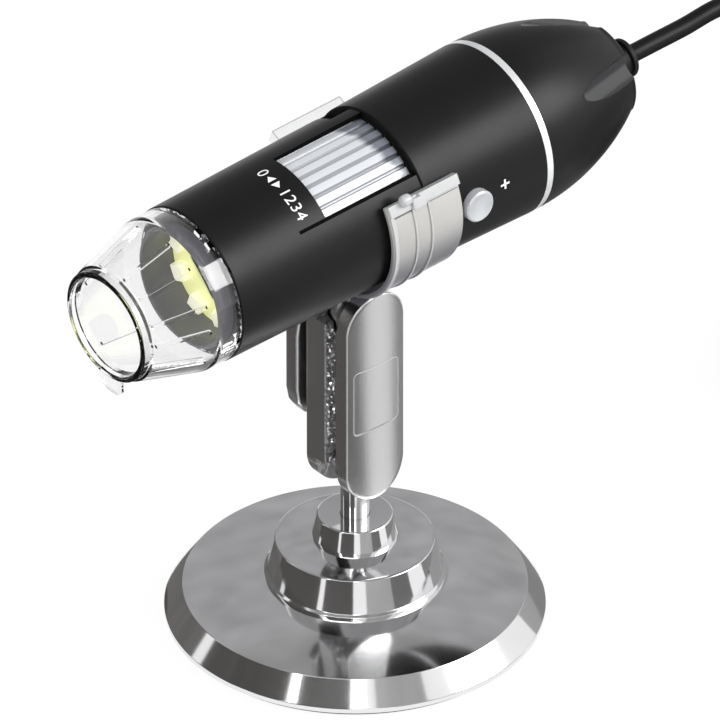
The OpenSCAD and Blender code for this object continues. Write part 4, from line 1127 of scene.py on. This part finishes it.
class MakeRearBody(bpy.types.Operator):
    """Turn the rear shell, the bright ring, the fluted tail and the grommet"""
    bl_idname = "microscope.make_rear_body"
    bl_label = "Rear body"

    def execute(self, context):
        look, _, s, place = ready(context)
        bore, r = s.shell_front_d / 2 - 1.6, s.shell_back_d / 2
        shell = ring("rear_shell_sleeve", rounded(
            (bore, s.barrel_back), (s.shell_front_d / 2, s.barrel_back, 0.3), (r, s.shell_back, 0.08),
            (bore, s.shell_back)), steps=180)
        shape(shell, "DIFFERENCE",
              rod("button_hole", s.button_d / 2 + 0.08, (-20, 0, s.button_at), (20, 0, s.button_at), 64))
        settle(shell, "scope", look("body_black"), place, ["rear_shell"])
        trim = ring("trim_band", rounded((bore, s.shell_back), (r, s.shell_back, 0.1), (r, s.trim_back, 0.1),
                                         (bore, s.trim_back)), steps=180)
        settle(trim, "scope", look("trim_silver"), place, ["trim_ring"])

        end_r, wall, edge, hole, run = 9.15, 2.4, 0.9, 1.75, s.tail_back - s.trim_back
        drop = r - end_r
        arc = (run ** 2 + drop ** 2) / (2 * drop)

        def tail_r(at):
            return r - arc + math.sqrt(arc ** 2 - (at - s.trim_back) ** 2)

        places = [s.trim_back + (run - edge) * k / 28 for k in range(29)]
        inside = [s.trim_back + (run - wall) * k / 12 for k in range(12, -1, -1)]
        lip = tail_r(places[-1])
        tail = ring("tail_cap_fluted", [
            *[(tail_r(p), p) for p in places],
            *[(lip - edge * (1 - math.cos(a)) * 0.9, places[-1] + edge * math.sin(a))
              for a in (math.pi / 2 * k / 5 for k in range(1, 6))],
            (hole, s.tail_back), (hole, s.tail_back - wall),
            *[(tail_r(p) - wall, p) for p in inside]], steps=180)
        flutes, first, flute_l, half_w, depth = 5, 59, 14.2, 2.3, 1
        flute_r = (half_w ** 2 + depth ** 2) / (2 * depth)
        low, high = end_r - depth + flute_r, tail_r(s.tail_back - flute_l) + flute_r
        axes = []
        for k in range(flutes):
            a = math.radians(first + 360 / flutes * k)
            up = Vector((math.sin(a), -math.cos(a), 0))
            foot = up * low + Vector((0, 0, s.tail_back))
            along = (up * high + Vector((0, 0, s.tail_back - flute_l)) - foot) / flute_l
            shape(tail, "DIFFERENCE", rod("flute", flute_r, foot - along * 14, foot + along * 28, 96))
            axes.append((foot, foot + along))
        ease_edges(tail, 0.1, 1, 24)

        # Flute faces get a lighter, glossier black than the body: a painted sheen in the scoops
        def part(face):
            return int(any(off_line(face.center, *axis) < flute_r + 0.015 for axis in axes))

        paint(tail, [look("body_black"), look("flute_black")], part)
        settle(tail, "scope", None, place, ["tail_cap"])

        grommet = ring("cable_grommet_sleeve", rounded(
            (hole, s.tail_back), (3.8, s.tail_back), (3.8, 63.8, 0.25), (3.2, 63.8), (3.2, 64.9),
            (3.8, 64.9, 0.2), (3.8, s.grommet_back, 0.4), (hole, s.grommet_back)), steps=72)
        settle(grommet, "scope", look("grommet_black"), place, ["cable_grommet"])

        arm, half = 1, 0.2
        near_mark = prism("press_mark_plus", [(x, y, 0) for x, y in (
            (-half, -arm), (half, -arm), (half, -half), (arm, -half), (arm, half), (half, half), (half, arm),
            (-half, arm), (-half, half), (-arm, half), (-arm, -half), (-half, -half))], (0, 0, 0.02))
        at, beta = 22.9, 86
        wrap(near_mark, at, beta,
             taper(at, s.barrel_back, s.shell_back, s.shell_front_d, s.shell_back_d) + PRINT_LIFT)
        settle(near_mark, "scope", look("print_white"), place)
        return {"FINISHED"}


class MakeNose(bpy.types.Operator):
    """Form the clear cap, the lens hood and the lamps on their ring board"""
    bl_idname = "microscope.make_nose"
    bl_label = "Nose"

    def execute(self, context):
        look, _, s, place = ready(context)
        front, back, r, tip = s.nose_front, s.barrel_front, s.nose_d / 2, s.nose_front_d / 2
        wall, straight = 1.5, s.barrel_front - 4.7
        cap = ring("nose_cap_clear", rounded(
            (r - wall, back), (r, back, 0.25), (r, straight, 3), (tip + 0.5, front + 1.9, 0.3),
            (tip, front + 1.5, 0.15), (tip, front, 0.4), (tip - 1.2, front, 0.4),
            (tip - 1.3, front + 2.2, 0.3), (tip - 0.9, front + 3, 0.4), (r - wall, straight, 2), steps=5),
            steps=144)
        shape(cap, "UNION", block("tab", (-2.5, tip - 0.75, front + 0.05), (2.5, tip + 2.85, front + 1.55)))
        for beta in (-70, -25, 12, 38, 70, 92, 125, 150, 215):
            fin = prism("fin", [(-0.3, y, at) for y, at in (
                (-13.9, back - 6), (-10.2, front + 3.4), (-9.4, front + 3.4), (-12.6, back - 6))],
                (0.6, 0, 0))
            fin.matrix_world = Matrix.Rotation(math.radians(beta), 4, "Z")
            shape(cap, "UNION", fin)
        shape(cap, "DIFFERENCE", *[sector("notch", r - wall - 1, r + 1, back - 1.1, back + 1, b - 3, b + 3, 4)
                                   for b in (18, 30, 108)])
        settle(cap, "scope", look("clear_plastic"), place, ["nose_cap"])

        hood_r, web, hood_back = s.hood_d / 2, s.barrel_front + 1.6, s.barrel_front + 7
        hood_front, flange, skin = s.barrel_front - 2.4, 1.6, 0.8
        hood_ri, board_back = hood_r - skin, hood_back - skin
        hood = ring("lens_hood_cup", rounded(
            (hood_ri, hood_front, 0.3), (hood_r, hood_front, 0.3), (hood_r, web), (hood_r + flange, web),
            (hood_r + flange, web + 1), (hood_r, web + 1), (hood_r, hood_back), (hood_ri - 3, hood_back),
            (hood_ri - 3, board_back), (hood_ri, board_back)), steps=120)
        settle(hood, "scope", look("hood_grey"), place, ["lens_hood"])
        board_front, board_r, eye = board_back - 1.2, hood_ri - 0.1, 4.8
        board = ring("lamp_ring", rounded(
            (eye, board_front, 0.2), (board_r, board_front), (board_r, board_back), (eye, board_back)),
            steps=96)
        settle(board, "scope", look("board_yellow"), place, ["lamp_board"])

        count, half_w, half_l, tall = 8, 1.7, 1.4, 1.8
        mid = board_r - 0.9 - half_l
        first = block("lamp_set", (-half_w, -mid - half_l, board_front - tall),
                      (half_w, -mid + half_l, board_front))
        ease_edges(first, 0.2, 2)
        lamps = repeat("lamp_set", first, [
            Matrix.Rotation(math.tau * (k + 0.5) / count, 4, "Z") for k in range(count)])
        settle(lamps, "scope", look("lamp_phosphor"), place, ["lamps"])
        return {"FINISHED"}


class MakeWheel(bpy.types.Operator):
    """Turn the focus wheel and press its ribs"""
    bl_idname = "microscope.make_wheel"
    bl_label = "Focus wheel"

    ribs, steps = 40, 8

    def execute(self, context):
        look, _, s, place = ready(context)
        r, depth, wall = s.wheel_d / 2, 0.5, 1.8
        wheel = ring("focus_wheel_ribbed", rounded(
            (r - wall, s.wheel_front), (r, s.wheel_front, 0.25), (r, s.wheel_back, 0.25),
            (r - wall, s.wheel_back)), steps=self.ribs * self.steps)

        def valley(p):
            step = round(math.atan2(p.y, p.x) / math.tau * self.ribs * self.steps) % self.steps
            return step in (6, 7) and p.xy.length > r - 0.6

        pick(wheel, valley)
        bpy.ops.transform.resize(value=((r - depth) / r, (r - depth) / r, 1), center_override=(0, 0, 0))
        begin()
        # The faces in the grooves get the darker finish: painted shade in the grooves
        paint(wheel, [look("wheel_silver"), look("wheel_groove")],
              lambda face: int(r - 0.9 < face.center.xy.length < r - 0.12))
        settle(wheel, "focus_ring", None, place, ["focus_wheel"])
        return {"FINISHED"}


class MakeButtons(bpy.types.Operator):
    """Turn both push buttons with their flanges and stems"""
    bl_idname = "microscope.make_buttons"
    bl_label = "Buttons"

    def execute(self, context):
        look, _, s, place = ready(context)
        r = s.button_d / 2
        bore, flange_r, stem_r = 14.6, 3.9, 1.2
        shell = taper(s.button_at, s.barrel_back, s.shell_back, s.shell_front_d, s.shell_back_d)
        top, flange = shell + 1.4, math.sqrt(bore ** 2 - flange_r ** 2) - CLEAR
        stem = 0.6 + 2.3 + 0.2 + 0.6
        for name, body, node, side in (("zoom_button_cap", "zoom", "zoom_button", 1),
                                       ("snap_button_cap", "snap", "snap_button", -1)):
            cap = turned(name, [
                (0, stem), (stem_r, stem), (stem_r, flange - 0.8), (flange_r, flange - 0.8),
                (flange_r, flange), (r, flange), (r, top - 0.3), (r - 0.28, top), (r - 0.55, top),
                (r - 0.65, top - 0.06), (0, top - 0.06)], steps=96)
            facing = (place @ Matrix.Translation((0, 0, s.button_at))
                      @ Matrix.Rotation(side * math.pi / 2, 4, "Y"))
            settle(cap, body, look("button_silver"), facing, [node])
        return {"FINISHED"}


class DressInside(bpy.types.Operator):
    """Give the carried-over inner solids their materials"""
    bl_idname = "microscope.dress_inside"
    bl_label = "Inside"

    groups = {
        "steel": ("base_screw", "clamp_bolt", "clamp_washer", "ball_stud"),
        "chassis_black": ("chassis_tube", "lens_carriage", "lens_retainer"),
        "lens_glass": ("front_lens", "rear_lens"),
        "board_green": ("sensor_board", "main_board"),
        "chip_black": ("image_sensor", "board_chips", "zoom_switch", "snap_switch"),
        "cable_black": ("cable_inner",),
    }

    def execute(self, context):
        look = finishes(context)
        for material, nodes in self.groups.items():
            dress(nodes, look(material))
        return {"FINISHED"}


class MakeStage(bpy.types.Operator):
    """Set the floor, the lights and the camera"""
    bl_idname = "microscope.make_stage"
    bl_label = "Stage"

    azimuth, elevation = math.radians(49.9), math.radians(33.68)
    # Scale of the photograph, and what lies in its middle, across, up and towards the camera
    pixels_per_mm, middle = 5.5014, (0.9234, 45.84, 27.7)
    picture, sensor, lens = 720, 36, 1500

    def execute(self, context):
        self.camera(context)
        self.world(context)
        self.floor()
        self.lamps()
        self.cards()
        return {"FINISHED"}

    def view(self):
        """Right, up and backward directions of the camera."""
        a, e = self.azimuth, self.elevation
        back = Vector((math.sin(a) * math.cos(e), -math.cos(a) * math.cos(e), math.sin(e)))
        right = Vector((math.cos(a), math.sin(a), 0))
        return right, back.cross(right), back

    def camera(self, context):
        begin()
        right, up, back = self.view()
        focal = self.picture * self.lens / self.sensor
        reach = focal / self.pixels_per_mm
        target = right * self.middle[0] + up * self.middle[1] + back * self.middle[2]
        bpy.ops.object.camera_add(location=(target + back * reach) * MM)
        camera = context.object
        camera.rotation_mode = "QUATERNION"
        camera.rotation_quaternion = (-back).to_track_quat("-Z", "Y")
        camera.data.lens, camera.data.sensor_width = self.lens, self.sensor
        camera.data.clip_start, camera.data.clip_end = 0.1, 50
        context.scene.camera = camera
        context.scene.view_settings.view_transform = "Standard"

    def by_ray(self, tree, plain, seen, out):
        """One shader where a thing is seen, reflected or looked through, and a plain one elsewhere."""
        rays, links = tree.nodes.new("ShaderNodeLightPath"), tree.links
        share = rays.outputs["Is Camera Ray"]
        for kind in ("Is Glossy Ray", "Is Transmission Ray"):
            either = tree.nodes.new("ShaderNodeMath")
            either.operation = "MAXIMUM"
            links.new(share, either.inputs[0])
            links.new(rays.outputs[kind], either.inputs[1])
            share = either.outputs[0]
        mix = tree.nodes.new("ShaderNodeMixShader")
        for k, source in enumerate((share, plain.outputs[0], seen.outputs[0])):
            links.new(source, mix.inputs[k])
        links.new(mix.outputs[0], out.inputs["Surface"])

    def world(self, context):
        """White where it is seen, reflected or looked through, and plain light elsewhere."""
        world = bpy.data.worlds.new("studio")
        world.use_nodes = True
        tree = world.node_tree
        tree.nodes.clear()
        seen, light = (tree.nodes.new("ShaderNodeBackground") for _ in range(2))
        seen.inputs["Color"].default_value = (1, 1, 1, 1)
        light.inputs["Color"].default_value = (0.95, 0.97, 1, 1)
        light.inputs["Strength"].default_value = 0.55
        self.by_ray(tree, light, seen, tree.nodes.new("ShaderNodeOutputWorld"))
        context.scene.world = world

    def floor(self):
        begin()
        bpy.ops.mesh.primitive_plane_add(size=6)
        floor = bpy.context.object
        floor.name = "floor"
        material = bpy.data.materials.new("floor_white")
        material.use_nodes = True
        tree = material.node_tree
        shader = tree.nodes["Principled BSDF"]
        shader.inputs["Base Color"].default_value = (0.86, 0.86, 0.86, 1)
        shader.inputs["Roughness"].default_value = 0.9
        shader.inputs["Specular IOR Level"].default_value = 0.0
        glow = tree.nodes.new("ShaderNodeEmission")
        glow.inputs["Strength"].default_value = 1.04
        mix = tree.nodes.new("ShaderNodeMixShader")
        mix.inputs[0].default_value = 0.88
        tree.links.new(shader.outputs[0], mix.inputs[1])
        tree.links.new(glow.outputs[0], mix.inputs[2])
        self.by_ray(tree, shader, mix, tree.nodes["Material Output"])
        floor.data.materials.append(material)

    def lamps(self):
        for name, at, size, power in (
            ("key_lamp", (0.8, 0.68, 0.75), 0.7, 14.0),
            ("fill_lamp", (0.5, -0.8, 0.75), 0.8, 7.0),
        ):
            begin()
            bpy.ops.object.light_add(type="AREA", location=at)
            lamp = bpy.context.object
            lamp.name = name
            lamp.data.size, lamp.data.energy = size, power
            lamp.rotation_mode = "QUATERNION"
            lamp.rotation_quaternion = (Vector((0, 0, 0.07)) - Vector(at)).to_track_quat("-Z", "Y")

    def cards(self):
        """Grey screens that only shine in metal and gloss. Angles run to the right from the camera."""
        near, far = 0.037, 0.9
        wall, apron = [(near, 0.001), (far, 0.001), (far, 1.0)], [(near, 0.001), (0.6, 0.001)]
        for name, left, right, points, shade, grain in (
            ("screen_left_far", -155, -104, wall, (0.16, 0.155, 0.15), 7),
            ("screen_floor_left", -104, -97, apron, (0.085, 0.08, 0.076), 7),
            ("screen_left", -97, -42, wall, (0.085, 0.08, 0.076), 7),
            ("screen_left_near", -36, -2, wall, (0.1, 0.097, 0.094), 7),
            ("screen_right_near", 13, 44, wall, (0.45, 0.445, 0.44), 7),
            ("screen_back", 150, 204, [(far, 0.1), (far, 1.5)], (0.39, 0.39, 0.395), 15),
            ("screen_top", 0, 360, [(0.02, 0.95), (0.8, 0.95)], (0.32, 0.32, 0.32), 12),
            ("screen_floor_back", 90, 150, apron, (0.27, 0.27, 0.27), 7),
            ("screen_floor_behind", 105, 152, [(0.085, 0.001), (0.085, 0.04)], (0.4, 0.4, 0.4), 7),
            ("screen_floor_side", 44, 68, apron, (0.19, 0.19, 0.19), 7),
        ):
            start = self.azimuth - math.pi / 2 + math.radians(left)
            way = Vector((math.cos(start), math.sin(start), 0))
            screen = draw(name, [way * r + Vector((0, 0, up)) for r, up in points])
            bpy.ops.mesh.spin(steps=24, angle=-math.radians(right - left), center=(0, 0, 0), axis=(0, 0, 1))
            begin()
            paint_on = Finish(name + "_paint", Base_Color=(0, 0, 0, 1), Specular_IOR_Level=0.0,
                              Emission_Strength=1.0)
            paint_on.mottle(paint_on.noise(grain, 3), shade, 0.55, 1.45, "Emission Color")
            screen.data.materials.append(paint_on.material)
            screen.visible_camera = screen.visible_diffuse = screen.visible_shadow = False
            screen.visible_transmission = False


class MicroscopePanel(bpy.types.Panel):
    """Lists the sizes, the colours and the making steps"""
    bl_idname = "VIEW3D_PT_microscope"
    bl_label = "Microscope"
    bl_space_type = "VIEW_3D"
    bl_region_type = "UI"
    bl_category = "Microscope"

    def draw(self, context):
        for step in STEPS:
            self.layout.operator(step.bl_idname)
        for group, kind in GROUPS.items():
            column = self.layout.column(align=True)
            for key in kind.__annotations__:
                column.prop(getattr(context.scene, group), key)


STEPS = (MakeStage, MakeLead, MakeBase, MakePost, MakeArm, MakeKnob, MakeCradle, MakeFrontBarrel,
         MakeRearBody, MakeNose, MakeWheel, MakeButtons, DressInside)
GROUPS = {"stand_sizes": StandSizes, "scope_sizes": ScopeSizes, "lead_sizes": LeadSizes,
          "finish_colours": FinishColours}


def register():
    for kind in (*GROUPS.values(), *STEPS, MicroscopePanel):
        bpy.utils.register_class(kind)
    for name, kind in GROUPS.items():
        setattr(bpy.types.Scene, name, bpy.props.PointerProperty(type=kind))


def unregister():
    for name in GROUPS:
        delattr(bpy.types.Scene, name)
    for kind in reversed((*GROUPS.values(), *STEPS, MicroscopePanel)):
        bpy.utils.unregister_class(kind)


def main():
    """Makes every piece in order."""
    register()
    for step in STEPS:
        family, name = step.bl_idname.split(".")
        getattr(getattr(bpy.ops, family), name)()


if __name__ == "__main__":
    main()
